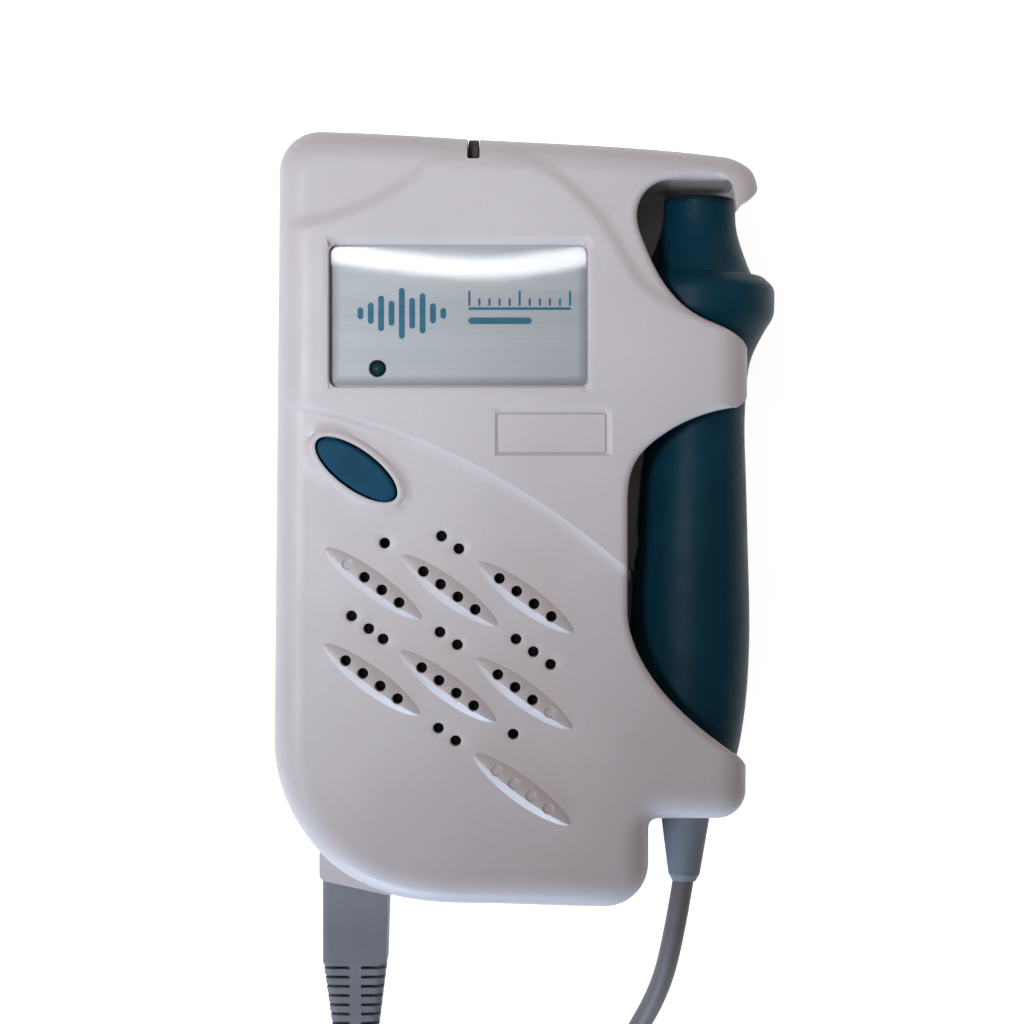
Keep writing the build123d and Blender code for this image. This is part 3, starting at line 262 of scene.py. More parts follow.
def evenly(line, spacing, closed=True):
    # the same line with its points about one spacing apart
    line = np.vstack([line, line[:1]]) if closed else line
    run = runAlong(line)
    count = max(int(round(run[-1] / spacing)), 3)
    at = np.linspace(0, run[-1], count, endpoint=False) if closed else np.linspace(0, run[-1], count + 1)
    return np.stack([np.interp(at, run, line[:, 0]), np.interp(at, run, line[:, 1])], -1)


def rectangle(x0, y0, x1, y1):
    return np.array([(x0, y0), (x1, y0), (x1, y1), (x0, y1)], float)


def boxAbout(centre, wide, high):
    return centre[0] - wide / 2, centre[1] - high / 2, centre[0] + wide / 2, centre[1] + high / 2


def boxOf(shape, wider=0.0, higher=0.0):
    return boxAbout(shape["centre"], shape["wide"] + wider, shape["high"] + higher)


def roundedBox(x0, y0, x1, y1, radius, sides=8):
    # a rectangle with a quarter circle at each corner
    turn = np.linspace(0, np.pi / 2, sides)
    quarter = radius * np.stack([np.cos(turn), np.sin(turn)], -1)
    left, right, low, high = x0 + radius, x1 - radius, y0 + radius, y1 - radius
    return np.vstack([
        (right, high) + quarter, (left, high) + quarter[::-1] * (-1, 1), (left, low) - quarter,
        (right, low) + quarter[::-1] * (1, -1),
    ])


def ring(centre, radius, sides=18):
    turn = np.linspace(0, 2 * np.pi, sides, endpoint=False)
    return np.array(centre) + radius * np.stack([np.cos(turn), np.sin(turn)], -1)


def inChunks(points, size=4000):
    return [points[k:k + size] for k in range(0, len(points), size)]


def isInside(points, loop):
    # even-odd rule: how many of the loop's sides lie to the right of a point
    a, b = loop, np.roll(loop, -1, 0)
    found = []
    for p in inChunks(points):
        x, y = p[:, :1], p[:, 1:]
        spans = (a[:, 1] > y) != (b[:, 1] > y)
        with np.errstate(divide="ignore", invalid="ignore"):
            cross = a[:, 0] + (y - a[:, 1]) * (b[:, 0] - a[:, 0]) / (b[:, 1] - a[:, 1])
        found.append(((x < cross) & spans).sum(1) % 2 == 1)
    return np.concatenate(found)


def distanceTo(points, line, closed=True):
    # the least distance from each point to a line's straight sides
    a = line if closed else line[:-1]
    b = np.roll(line, -1, 0) if closed else line[1:]
    side = b - a
    span = np.maximum((side ** 2).sum(1), 1e-12)
    found = []
    for p in inChunks(points, 2000):
        t = np.clip(((p[:, None] - a) * side).sum(-1) / span, 0, 1)
        found.append(np.sqrt((((p[:, None] - a) - t[..., None] * side) ** 2).sum(-1)).min(1))
    return np.concatenate(found)


def smoothStep(t):
    t = np.clip(t, 0, 1)
    return t * t * (3 - 2 * t)


def roundedDrop(distance, radius):
    # how far a quarter-round edge lies below its face, at a distance in from the edge
    inward = np.clip(distance, 0, radius)
    return radius - np.sqrt(np.maximum(radius ** 2 - (radius - inward) ** 2, 0))


# Front shell: the outline, openings and levels of the moulding, in millimetres
caseShape = {
    "front": 35.0, "parting": 17.5, "ceiling": 32.6, "wall": 2.3,
    "left": -43.2, "right": 37.4, "cupRight": 37.1, "bodyRight": 20.5, "cupLow": -51.1, "low": -66.1,
    "cupRound": 4.9, "footRound": 7.4, "hollowRound": 1.5,
    "rimRound": 5.5, "lipRound": 1.1, "visorRound": 1.4, "spacing": 0.85, "sharp": 27,
    "seamDeep": 0.22, "seamHigh": 0.22,
    "dock": (16.6, -49.0, 35.2, 57.1), "lipLow": 29.2, "insideX": 14.4,
    "zoneStep": 0.6, "zoneFade": 6.0, "collarScoop": 13.95, "collarSpan": (32, 43.5),
    "reliefSlot": (4.7, 22.2), "rib": (20.1, 21.9, 26.75),  # half width and level; low, high and level
    # rings of points, by their distance in from the rim, from the lips and from the visor's lip
    "rimRings": (0.5, 0.9, 1.4, 2.0, 2.7, 3.5, 4.4, 5.3), "lipRings": (-0.12, -0.3, -0.55, -0.85, -1.15, -1.6),
    "visorRings": (2.0, 2.4, 2.8, 3.2),
}


def caseOutline():
    s = caseShape
    topLeft, topRight, noseLow = (-35.4, 65.8), (33.4, 61.5), (39.1, 56.0)
    cup, foot = (s["cupRight"] - s["cupRound"], s["cupLow"]), (s["bodyRight"] - s["footRound"], s["low"])
    hollow = (s["bodyRight"] + s["hollowRound"], s["cupLow"] - s["hollowRound"])
    return evenly(np.vstack([
        [(s["left"], -38.0)], arcThrough((-42.3, 59.0), (-40.25, 63.8), topLeft),
        smoothThrough([topLeft, (-9.2, 64.5), topRight], (1, -0.02), (1, -0.13)),
        smoothThrough([topRight, (36.2, 60.5), (38.1, 59.1), (38.9, 57.3), noseLow], (1, -0.13), (0, -1)),
        smoothThrough([noseLow, (s["right"], 40.0)], (0, -1), (0, -1)),
        arcBetween((s["cupRight"], s["cupLow"] + s["cupRound"]), cup, (cup[0], s["cupLow"] + s["cupRound"])),
        arcBetween((hollow[0], s["cupLow"]), (s["bodyRight"], hollow[1]), hollow, 5),
        arcBetween((s["bodyRight"], s["low"] + s["footRound"]), foot, (foot[0], s["low"] + s["footRound"])),
        smoothThrough([foot, (-6.0, -65.6), (-20.0, -64.75), (-32.1, -59.75), (-39.3, -51.7), (s["left"], -38.0)],
                      (-1, 0), (0, 1)),
    ]), 0.7)[::-1]


def cutOuts():
    # the two openings over the dock; they run out past the case's right side, their corners there rounded
    above = np.vstack([
        arcThrough((37.6, 27.4), (36.8, 29.5), (35.4, 30.7)),
        smoothThrough([(35.4, 30.7), (34.6, 31.3), (29.3, 33.9), (23.6, 38.8), (19.5, 46.7), (18.4, 51.2), (19.9, 55.2),
                       (24.0, 57.1)], (-0.8, 0.6), (1, 0)),
        [(33.8, 57.1)], arcThrough((34.4, 56.6), (34.8, 54.6), (35.2, 51.9)),
        arcThrough((36.4, 53.4), (37.8, 54.25), (38.7, 55.2)), [(39.4, 56.6), (50, 56.6), (50, 27.4)],
    ])
    below = np.vstack([
        arcThrough((37.6, 22.0), (36.8, 19.9), (35.4, 18.8)),
        smoothThrough([(35.4, 18.8), (29.3, 17.4), (22.2, 13.7), (18.0, 9.2), (16.8, 2.0)], (-1, -0.12), (0, -1)),
        smoothThrough([(16.8, -15.5), (19.0, -23.6), (25.6, -32.3), (35.3, -40.1)], (0, -1), (1, -0.7)),
        arcThrough((35.3, -40.1), (36.7, -41.5), (37.4, -43.4)),
        [(50, -43.4), (50, 22.0)],
    ])
    return [evenly(above, 0.5), evenly(below[::-1], 0.5)]  # both run clockwise


def caseInside():
    # the hollow behind the front: the outline less the wall, and no wider than the dock's wall allows
    s = caseShape
    w, low, turn, across = s["wall"], s["low"] + s["wall"], s["footRound"] - s["wall"], s["bodyRight"] - s["wall"]
    return evenly(np.vstack([
        [(s["left"] + w, -38.0)], arcThrough((-42.3 + w, 59.0), (-38.6, 62.1), (-35.4, 65.8 - w)),
        smoothThrough([(-35.4, 65.8 - w), (-9.2, 64.5 - w), (s["insideX"], 63.25 - w)], (1, -0.02), (1, -0.07)),
        [(s["insideX"], s["cupLow"] - w), (across, s["cupLow"] - w)],
        arcBetween((across, low + turn), (across - turn, low), (across - turn, low + turn)),
        smoothThrough([(across - turn, low), (-6.0, -65.6 + w), (-19.6, -62.5), (-30.7, -58.0),
                       (-37.4, -50.4), (s["left"] + w, -38.0)], (-1, 0), (0, 1)),
    ]), 1.5)


# each zone of the face that lies lower than the display's: its edge, the edge's end directions, the corners
# that close it, the width of its slope, and the rings of points laid along it
zones = {
    "low": {
        "edge": [(-50, 20.6), (-40.4, 19.6), (-27.9, 16.7), (-10.8, 10.0), (6.4, -0.3), (22.0, -12.9)],
        "ends": ((1, -0.1), (1, -0.85)), "closing": [(50, -12.9), (50, -80), (-50, -80)],
        "wide": 1.5, "crisp": True, "rings": (-0.35, -0.12, 0.22, 0.5, 0.8, 1.1, 1.4, 1.8, 2.2),
    },
    "topLeft": {
        "edge": [(-15.2, 70), (-15.5, 62.8), (-22.7, 55.0), (-28.4, 52.2), (-39.5, 49.2), (-50, 47.5)],
        "ends": ((0, -1), (-1, -0.15)), "closing": [(-50, 70)],
        "wide": 2.3, "crisp": False, "rings": (-1.4, -0.9, -0.4, 0.1, 0.6, 1.1, 1.6, 2.1, 2.6),
    },
    "topRight": {
        "edge": [(-8.0, 64.0), (-2.7, 61.8), (6.2, 56.4), (14.1, 47.5), (19.0, 39.7), (26.5, 34.8), (34, 32.6)],
        "ends": ((1, -0.5), (1, -0.2)), "closing": [(50, 32.6), (50, 70), (-8, 70)],
        "wide": 2.3, "crisp": False, "rings": (-1.4, -0.9, -0.4, 0.1, 0.6, 1.1, 1.6, 2.1, 2.6),
    },
}
lattice = {
    "first": (-30.4, -7.77), "step": (2.912, -2.133), "column": (12.80, -1.17), "row": (-0.27, -16.16),
    "halfRow": (-0.13, -8.08), "holeRadius": 0.9, "long": 20.2, "high": 1.15,
    "lowEdge": -2.35, "crest": -0.95, "highEdge": 2.05,  # across a leaf's middle, from its row of holes
    "leaves": [(0, 0), (1, 0), (2, 0), (0, 1), (1, 1), (2, 1), (2, 2)],
    "blind": [(0, 0, 0), (2, 1, 3), (2, 2, 0), (2, 2, 1), (2, 2, 2), (2, 2, 3)], "blindDeep": 0.45,
    "holeRound": 0.28, "holeRoundShare": 0.8, "taper": 0.6,
    "holeRings": (0.11, 0.26), "blindRings": (0.35, 0.62, 0.76, 0.9, 1.04),
    "leafRings": (-2.75, -2.5, -1.65, -0.5, 0.0, 0.5, 1.0, 1.5, 1.85, 2.2, 2.45),
    "loose": {(0, -1): (2.1,), (1, -1): (1, 2), (0, 0): (0.28, 1.28, 2.1), (1, 0): (1, 2), (2, 0): (1, 2, 3),
              (1, 1): (1, 2), (2, 1): (0.93,)},
}
windowShape = {
    "centre": (-11.7, 34.05), "wide": 43.6, "high": 23.8, "round": 1.15, "bevel": 1.5, "sunk": 1.0,
    "floor": 32.85, "back": 31.25, "padRim": (2.5, 3.9), "padShift": 0.6, "edgeRound": 0.28,
    "lamp": (-25.4, -8.75, 1.45), "rings": (0.14, 0.3), "bevelLines": (0.7, 1.1, 1.5, 1.65),
}
buttonShape = {
    "centre": (-28.9, 8.2), "turn": -36.0, "a": 7.85, "b": 2.95, "gap": 0.4,
    "rim": 0.55, "rimMiddle": 0.4, "rimHalf": 0.85, "rings": (0.12, 0.3, 0.5, 0.75, 1.0, 1.25),
}
slotShape = {"centre": (-9.2, 70.5), "wide": 2.1, "high": 20, "floor": 21.4, "round": 0.35}
plateShape = {
    "centre": (4.0, 14.3), "wide": 18.5, "high": 6.9, "round": 0.4, "deep": 0.16, "groove": 0.28, "grooveWide": 0.24,
    "rings": (0.22, 0.36, 0.5, 0.7),
}
probeAxis = {"x": 28.91, "lean": np.radians(1.33), "z": 17.5}


def leafHole(column, row, k):
    first, across, down, step = (np.array(lattice[name]) for name in ("first", "column", "row", "step"))
    return first + across * column + down * row + step * k


def latticeHoles():
    p = lattice
    through = [leafHole(c, r, k) for c, r in p["leaves"] for k in range(4) if (c, r, k) not in p["blind"]]
    through += [leafHole(c, r, k) + p["halfRow"] for (c, r), ks in p["loose"].items() for k in ks]
    return np.array(through), np.array([leafHole(*b) for b in p["blind"]])


def leafLines(offsets):
    # lines from tip to tip of every leaf, bowed out by the offsets at its middle
    p = lattice
    way = unit(np.array(p["step"], float))
    side = np.array([-way[1], way[0]])
    u = np.linspace(-1, 1, 49)[:, None]
    bow = (1 - u ** 2) ** p["taper"]
    return [leafHole(c, r, 1.5) + u * p["long"] / 2 * way + bow * p.get(offset, offset) * side
            for c, r in p["leaves"] for offset in offsets]


def leafRise(xy):
    # across a leaf: straight up from its lower left edge to the crest, then a parabola down to its upper right edge;
    # the whole sinks towards the tips in step with the leaf's width
    p = lattice
    way = unit(np.array(p["step"], float))
    rise = np.zeros(len(xy))
    for column, row in p["leaves"]:
        local = xy - leafHole(column, row, 1.5)
        u = (local @ way) / (p["long"] / 2)
        bow = np.maximum(1 - u ** 2, 1e-6) ** p["taper"]
        v = local @ np.array([-way[1], way[0]]) / bow
        climb = (v - p["lowEdge"]) / (p["crest"] - p["lowEdge"])
        fall = 1 - ((v - p["crest"]) / (p["highEdge"] - p["crest"])) ** 2
        profile = np.clip(np.where(v < p["crest"], climb, fall), 0, 1)
        rise = np.maximum(rise, np.where(np.abs(u) < 1, p["high"] * bow * profile, 0))
    return rise


def ovalAxes(shape):
    # the unit vectors along the oval and across it
    turn = np.radians(shape["turn"])
    return np.array([[np.cos(turn), np.sin(turn)], [-np.sin(turn), np.cos(turn)]])


def ovalRadius(xy, shape):
    # roughly the distance out from the button's opening, from the level of the oval's equation over its slope
    u, v = ((xy - np.array(shape["centre"])) @ way for way in ovalAxes(shape))
    a, b = shape["a"] + shape["gap"], shape["b"] + shape["gap"]
    level = np.sqrt((u / a) ** 2 + (v / b) ** 2)
    slope = np.sqrt((u / a ** 2) ** 2 + (v / b ** 2) ** 2) / np.maximum(level, 1e-6)
    return (level - 1) / np.maximum(slope, 1e-6)


def oval(shape, grow=0.0, sides=72):
    t = np.linspace(0, 2 * np.pi, sides, endpoint=False)
    a, b = shape["a"] + shape["gap"] + grow, shape["b"] + shape["gap"] + grow
    return np.array(shape["centre"]) + np.stack([a * np.cos(t), b * np.sin(t)], -1) @ ovalAxes(shape)


def zoneDepth(xy):
    # 0 on the display zone and 1 on the lower zones; a crisp slope starts at its edge and eases out below it,
    # a soft one eases out at both ends
    low = np.zeros(len(xy))
    for zone in zones.values():
        line = smoothThrough(zone["edge"], *zone["ends"])
        inside = isInside(xy, np.vstack([line, zone["closing"]]))
        away = distanceTo(xy, line, closed=False) * np.where(inside, 1, -1) / zone["wide"]
        crisp = 1 - (1 - np.clip(away, 0, 1)) ** 1.6
        low = np.maximum(low, crisp if zone["crisp"] else smoothStep(away + 0.4))
    return low


def rimDistance(xy, outline):
    # how far in from the outline, with the inner line of the rounded rim eased so that tight corners blend softly
    reach = caseShape["rimRound"]
    inner = evenly(inwardRing(outline, reach), 0.7)
    inner = sum(np.roll(inner, k, 0) for k in range(-4, 5)) / 9
    out, back = distanceTo(xy, outline), distanceTo(xy, inner)
    return np.where(isInside(xy, inner), reach + back, reach * out / np.maximum(out + back, 1e-6))


def fromNearest(xy, places):
    # the distance from each point to the nearest of some places
    return np.sqrt(((xy[:, None] - places) ** 2).sum(-1)).min(1)


def frontHeight(xy, outline, lips, holes, dimples):
    # the front face, lowered by its rounded rim and lips and its lower zones, raised by leaves and the button's rim
    s, w, b, q, p = caseShape, windowShape, buttonShape, plateShape, lattice
    rim = rimDistance(xy, outline)
    lip = np.minimum(distanceTo(xy, lips[0]), distanceTo(xy, lips[1]))
    z = s["front"] - s["zoneStep"] * zoneDepth(xy) * smoothStep(rim / s["zoneFade"])
    # the lips' rounding is wider on the visor, and nearly a sharp edge where the visor turns down to the hook
    onVisor = smoothStep((xy[:, 1] - 50) / 4)
    lipRound = s["lipRound"] + onVisor * (
        s["visorRound"] * smoothStep((xy[:, 0] - 22) / 6) - (s["lipRound"] + s["visorRound"] - 0.45)
        * smoothStep((xy[:, 0] - 32.2) / 2.0))
    z -= (roundedDrop(rim, s["rimRound"]) ** 6 + roundedDrop(lip, lipRound) ** 6) ** (1 / 6)
    z += leafRise(xy)
    offOval = ovalRadius(xy, b)
    rimRise = np.clip(1 - ((offOval - b["rimMiddle"]) / b["rimHalf"]) ** 2, 0, 1) ** 0.6
    z += b["rim"] * np.where(offOval > -0.1, rimRise, 0)
    z -= p["holeRoundShare"] * roundedDrop(fromNearest(xy, holes) - p["holeRadius"], p["holeRound"])
    z -= p["blindDeep"] * smoothStep((p["holeRadius"] + 0.1 - fromNearest(xy, dimples)) / 0.35)
    offX = np.abs(xy[:, 0] - w["centre"][0]) - w["wide"] / 2
    offY = np.abs(xy[:, 1] - w["centre"][1]) - w["high"] / 2
    z -= roundedDrop(np.hypot(np.maximum(offX, 0), np.maximum(offY, 0)), w["edgeRound"])
    up = xy[:, 1] - w["centre"][1] - w["high"] / 2
    z -= w["sunk"] * np.clip(1 - up / w["bevel"], 0, 1) * smoothStep(-offX / 0.35) * (up > -0.01)
    inPlate = np.minimum(q["wide"] / 2 - np.abs(xy[:, 0] - q["centre"][0]),
                         q["high"] / 2 - np.abs(xy[:, 1] - q["centre"][1]))
    z -= q["groove"] * smoothStep((q["grooveWide"] - inPlate) / 0.12) * (inPlate > -0.01)
    return z


def wholeFaces(faces):
    # the triangles that have three different corners
    return faces[(faces != np.roll(faces, -1, 1)).all(1)]


def solidOverPlan(xy, triangles, top, bottom):
    # closes a plan's triangles into a solid: tops, bottoms, and a wall wherever a side is free or levels differ
    a, b = triangles.ravel(), triangles[:, [1, 2, 0]].ravel()
    topA, topB = top.ravel(), top[:, [1, 2, 0]].ravel()
    lowA, lowB = bottom.ravel(), bottom[:, [1, 2, 0]].ravel()
    count = len(xy)
    key, back = a * count + b, b * count + a
    order = np.argsort(key)
    slot = np.clip(np.searchsorted(key[order], back), 0, len(key) - 1)
    mate = np.where(key[order][slot] == back, order[slot], -1)
    free, shared = mate < 0, mate >= 0
    m = np.maximum(mate, 0)
    walls = [(free, lowA, lowB, topA, topB)]
    stepUp = shared & ((topA > topB[m] + 1e-4) | (topB > topA[m] + 1e-4))
    walls.append((stepUp, topB[m], topA[m], topA, topB))
    stepDown = shared & ((lowA < lowB[m] - 1e-4) | (lowB < lowA[m] - 1e-4))
    walls.append((stepDown, lowA, lowB, lowB[m], lowA[m]))
    corners = [np.stack([triangles, top], -1), np.stack([triangles, bottom], -1)[:, ::-1]]
    for pick, la, lb, ta, tb in walls:
        low = np.stack([np.stack([a, la], -1), np.stack([b, lb], -1), np.stack([b, tb], -1)], 1)
        high = np.stack([np.stack([a, la], -1), np.stack([b, tb], -1), np.stack([a, ta], -1)], 1)
        corners += [low[pick], high[pick]]
    corners = np.concatenate(corners).reshape(-1, 2)
    coded = corners[:, 0] * 1e6 + np.round(corners[:, 1] * 1e3)
    _, first, place = np.unique(coded, return_index=True, return_inverse=True)
    verts = np.column_stack([xy[corners[first, 0].astype(int)], corners[first, 1]])
    faces = place.reshape(-1, 3)
    return verts * mm, wholeFaces(faces)


def planTriangles(loops, lines, points):
    # triangles over all the points that keep every side of the closed loops and of the open lines
    verts, edges, start = [], [], 0
    for line in loops + lines:
        n = len(line)
        closed = start < sum(map(len, loops))
        verts.append(line)
        edges += [(start + k, start + (k + 1) % n) for k in range(n if closed else n - 1)]
        start += n
    verts = np.vstack(verts + [points])
    out = geometry.delaunay_2d_cdt([tuple(v) for v in verts.tolist()], edges, [], 0, 1e-4)
    xy = np.array([tuple(v) for v in out[0]])
    triangles = np.array([f for f in out[2] if len(f) == 3])
    p = xy[triangles]
    turn = (p[:, 1, 0] - p[:, 0, 0]) * (p[:, 2, 1] - p[:, 0, 1]) - (p[:, 1, 1] - p[:, 0, 1]) * (p[:, 2, 0] - p[:, 0, 0])
    triangles[turn < 0] = triangles[turn < 0][:, ::-1]
    return xy, triangles[np.abs(turn) > 1e-7]


def inwardRing(outline, distance):
    # the outline moved in by a distance, without the points that a tight corner folds over
    way = unit(np.roll(outline, -1, 0) - np.roll(outline, 1, 0))
    moved = outline + distance * np.stack([-way[:, 1], way[:, 0]], -1)
    return moved[distanceTo(moved, outline) > 0.93 * distance]


def gridOver(x0, y0, x1, y1, spacing):
    x, y = np.meshgrid(np.arange(x0, x1, spacing), np.arange(y0, y1, spacing))
    return np.stack([x.ravel(), y.ravel()], -1)


def besideLine(line, distance):
    # the line moved to its left by a distance
    way = unit(np.gradient(line, axis=0))
    return line + distance * np.stack([-way[:, 1], way[:, 0]], -1)


def buildFrontShell():
    s, w, slot, plate = caseShape, windowShape, slotShape, plateShape
    outline, inside, lips, (holes, dimples) = caseOutline(), caseInside(), cutOuts(), latticeHoles()
    dockX, dockLow, dockRight, dockTop = s["dock"]
    reliefX = probeAxis["x"] + dockLow * np.tan(probeAxis["lean"])
    wx, wy = w["centre"]
    window = roundedBox(*boxOf(w), w["round"])
    lampX, lampY, lampRadius = w["lamp"]
    lamp = ring((lampX, wy + lampY), lampRadius)
    reliefHalf, reliefLevel = s["reliefSlot"]
    ribLow, ribHigh, ribLevel = s["rib"]
    levels = {
        # parts of the underside, each with its level
        "pad": (rectangle(*boxOf(w, *w["padRim"])) + (0, w["padShift"]), w["back"]),
        "relief": (rectangle(reliefX - reliefHalf, dockLow - 5, 60, dockLow), reliefLevel),
        "dock": (rectangle(dockX, dockLow, dockRight, dockTop), s["ceiling"]),
        "rib": (rectangle(dockX, ribLow, dockRight + 1, ribHigh), ribLevel),
        "lips": (rectangle(dockRight, dockLow, 60, dockTop), s["lipLow"]),
    }
    slotLoop = roundedBox(*boxOf(slot), slot["round"])
    plateLoop = roundedBox(*boxOf(plate), plate["round"])
    button = oval(buttonShape)
    loops = [outline, inwardRing(outline, s["seamDeep"]), *lips, inside, evenly(window, 0.6), button, lamp,
             evenly(slotLoop, 0.35), evenly(plateLoop, 0.5)]
    loops += [evenly(loop, 0.5) for loop, _ in levels.values()] + [ring(h, lattice["holeRadius"]) for h in holes]
    zoneEdge = {name: evenly(smoothThrough(z["edge"], *z["ends"]), 0.7, False) for name, z in zones.items()}
    lines = leafLines(("lowEdge", "crest", "highEdge")) + [zoneEdge["low"]]
    # points: rings in from the rim and the lips, rings round the small forms, and a grid over the rest
    points = [inwardRing(outline, d) for d in s["rimRings"]]
    points += [inwardRing(lip[::-1], d) for lip in lips for d in s["lipRings"]]
    visor = lips[0][lips[0][:, 1] > 48]
    points += [besideLine(visor, -d) for d in s["visorRings"]]
    points += [ring(h, lattice["holeRadius"] + d) for h in holes for d in lattice["holeRings"]]
    points += [ring(h, r) for h in dimples for r in lattice["blindRings"]]
    points += [oval(buttonShape, d) for d in buttonShape["rings"]]
    points += [evenly(roundedBox(*boxOf(w, 2 * d, 2 * d), w["round"] + d), 0.6) for d in w["rings"]]
    points += [evenly(np.array([(-0.5, d), (0.5, d)]) * (w["wide"] + 0.6, 1) + (wx, wy + w["high"] / 2), 0.6, False)
               for d in w["bevelLines"]]
    points += [evenly(rectangle(*boxOf(plate, -d, -d)), 0.5) for d in plate["rings"]]
    points += leafLines(lattice["leafRings"])
    clouds = [(besideLine(line, -d), 0.25) for name, line in zoneEdge.items() for d in zones[name]["rings"]]
    clouds.append((gridOver(-43, -66, 40, 66, s["spacing"]), 0.5))
    keep = [np.vstack(points)]
    for cloud, room in clouds:
        cloud = cloud[isInside(cloud, outline) & (distanceTo(cloud, outline) > s["rimRound"] - 0.1)]
        for loop, away in ((button, room), (lips[0], 1.7), (lips[1], 1.7), (window, 0.4)):
            cloud = cloud[distanceTo(cloud, loop) > away]
        # one point per cell of the finer grid already laid down
        cells = [np.round(q / (2 * room)).astype(int) @ (1, 100000) for q in (np.vstack(keep), cloud)]
        keep.append(cloud[~np.isin(cells[1], cells[0])])
    xy, triangles = planTriangles(loops, lines, np.vstack(keep))
    middle = xy[triangles].mean(1)
    within, inSlot, inWindow = (isInside(middle, loop) for loop in (inside, slotLoop, window))
    gone = ~isInside(middle, outline) | (inSlot & within)
    for loop in (*lips, button, lamp):
        gone |= isInside(middle, loop)
    gone |= fromNearest(middle, holes) < lattice["holeRadius"] * 0.98
    triangles, middle, within, inSlot, inWindow = (
        part[~gone] for part in (triangles, middle, within, inSlot, inWindow))
    top = frontHeight(xy, outline, lips, holes, dimples)[triangles]
    top = np.where(isInside(middle, plateLoop)[:, None], top - plate["deep"], top)
    top = np.where(inSlot[:, None], slot["floor"], np.where(inWindow[:, None], w["floor"], top))
    level = np.where(within, s["ceiling"], s["parting"])
    level[distanceTo(middle, outline) < 0.8 * s["seamDeep"]] = s["parting"] + s["seamHigh"]
    for loop, height in levels.values():
        level[isInside(middle, loop)] = height
    bottom = np.repeat(level[:, None], 3, 1)
    # the dock's wall is scooped round the probe's collar
    px, py = xy[triangles][..., 0], xy[triangles][..., 1]
    offAxis = np.abs(px - probeAxis["x"] - py * np.tan(probeAxis["lean"]))
    scoop = probeAxis["z"] + np.sqrt(np.maximum(s["collarScoop"] ** 2 - offAxis ** 2, 0))
    low, high = s["collarSpan"]
    byCollar = (middle[:, 1] > low) & (middle[:, 1] < high) & (middle[:, 0] > s["insideX"]) & (level == s["parting"])
    bottom = np.where(byCollar[:, None], np.maximum(bottom, scoop), bottom)
    verts, faces = solidOverPlan(xy, triangles, top, bottom)
    shell = newPiece("front_case", verts, faces, "main")
    shell.data.set_sharp_from_angle(angle=np.radians(s["sharp"]))
    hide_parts("front_shell")
    print("front case", len(verts), "points", len(faces), "triangles")
    return shell


# the line that the notch's tip is drawn back to, under the front's hook
notchLine = {"x": (34.9, 35.3, 39.2), "y": (51.9, 53.9, 57.2), "from": 51.5}


def buildRearCase(n):
    # the rear shell's solid, merged; points in the notch's corner that lie below the line move up on to it
    source = nodes["rear_shell"].data
    verts, faces = np.empty(len(source.vertices) * 3), np.empty(len(source.polygons) * 3, int)
    source.vertices.foreach_get("co", verts)
    source.polygons.foreach_get("vertices", faces)
    _, first, place = np.unique(np.round(verts.reshape(-1, 3) * 1e6), axis=0, return_index=True, return_inverse=True)
    verts, faces = verts.reshape(-1, 3)[first] / mm, place.ravel()[faces].reshape(-1, 3)
    x, y = verts[:, 0], verts[:, 1]
    line = np.interp(x, n["x"], n["y"])
    verts[:, 1] = np.where((x > n["x"][0]) & (y > n["from"]) & (y < line), line, y)
    rear = newPiece("rear_case", verts * mm, wholeFaces(faces), "main")
    rear.data.set_sharp_from_angle(angle=np.radians(30))
    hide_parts("rear_shell")
    return rear


frontCase = buildFrontShell()
rearCase = buildRearCase(notchLine)


# Window
glassShape = {
    "centre": (-11.7, 34.05), "wide": 43.1, "high": 23.3, "round": 1.3, "thick": 0.72, "top": 34.0,
    "columns": 87, "rows": 48,
    "warpX": -8.1, "warpWidth": 12.0, "warp": (0.00029, 0.00038),  # slope along Y per millimetre, left and right
}


def closedSlab(x, y, top, bottom):
    # a grid of tops and one of bottoms with the same plan, joined by a strip round their edge
    rows, columns = x.shape
    verts = np.concatenate([np.stack([x, y, top], -1).reshape(-1, 3), np.stack([x, y, bottom], -1).reshape(-1, 3)])
    upper = gridQuads(rows, columns)
    under = upper[:, ::-1] + rows * columns
    edge = np.concatenate([
        np.arange(columns), columns * np.arange(1, rows) + columns - 1,
        (rows - 1) * columns + np.arange(columns - 2, -1, -1), columns * np.arange(rows - 2, 0, -1),
    ])
    onward = np.roll(edge, -1)
    side = np.stack([edge, edge + rows * columns, onward + rows * columns, onward], -1)
    return verts * mm, np.concatenate([upper, under, side])


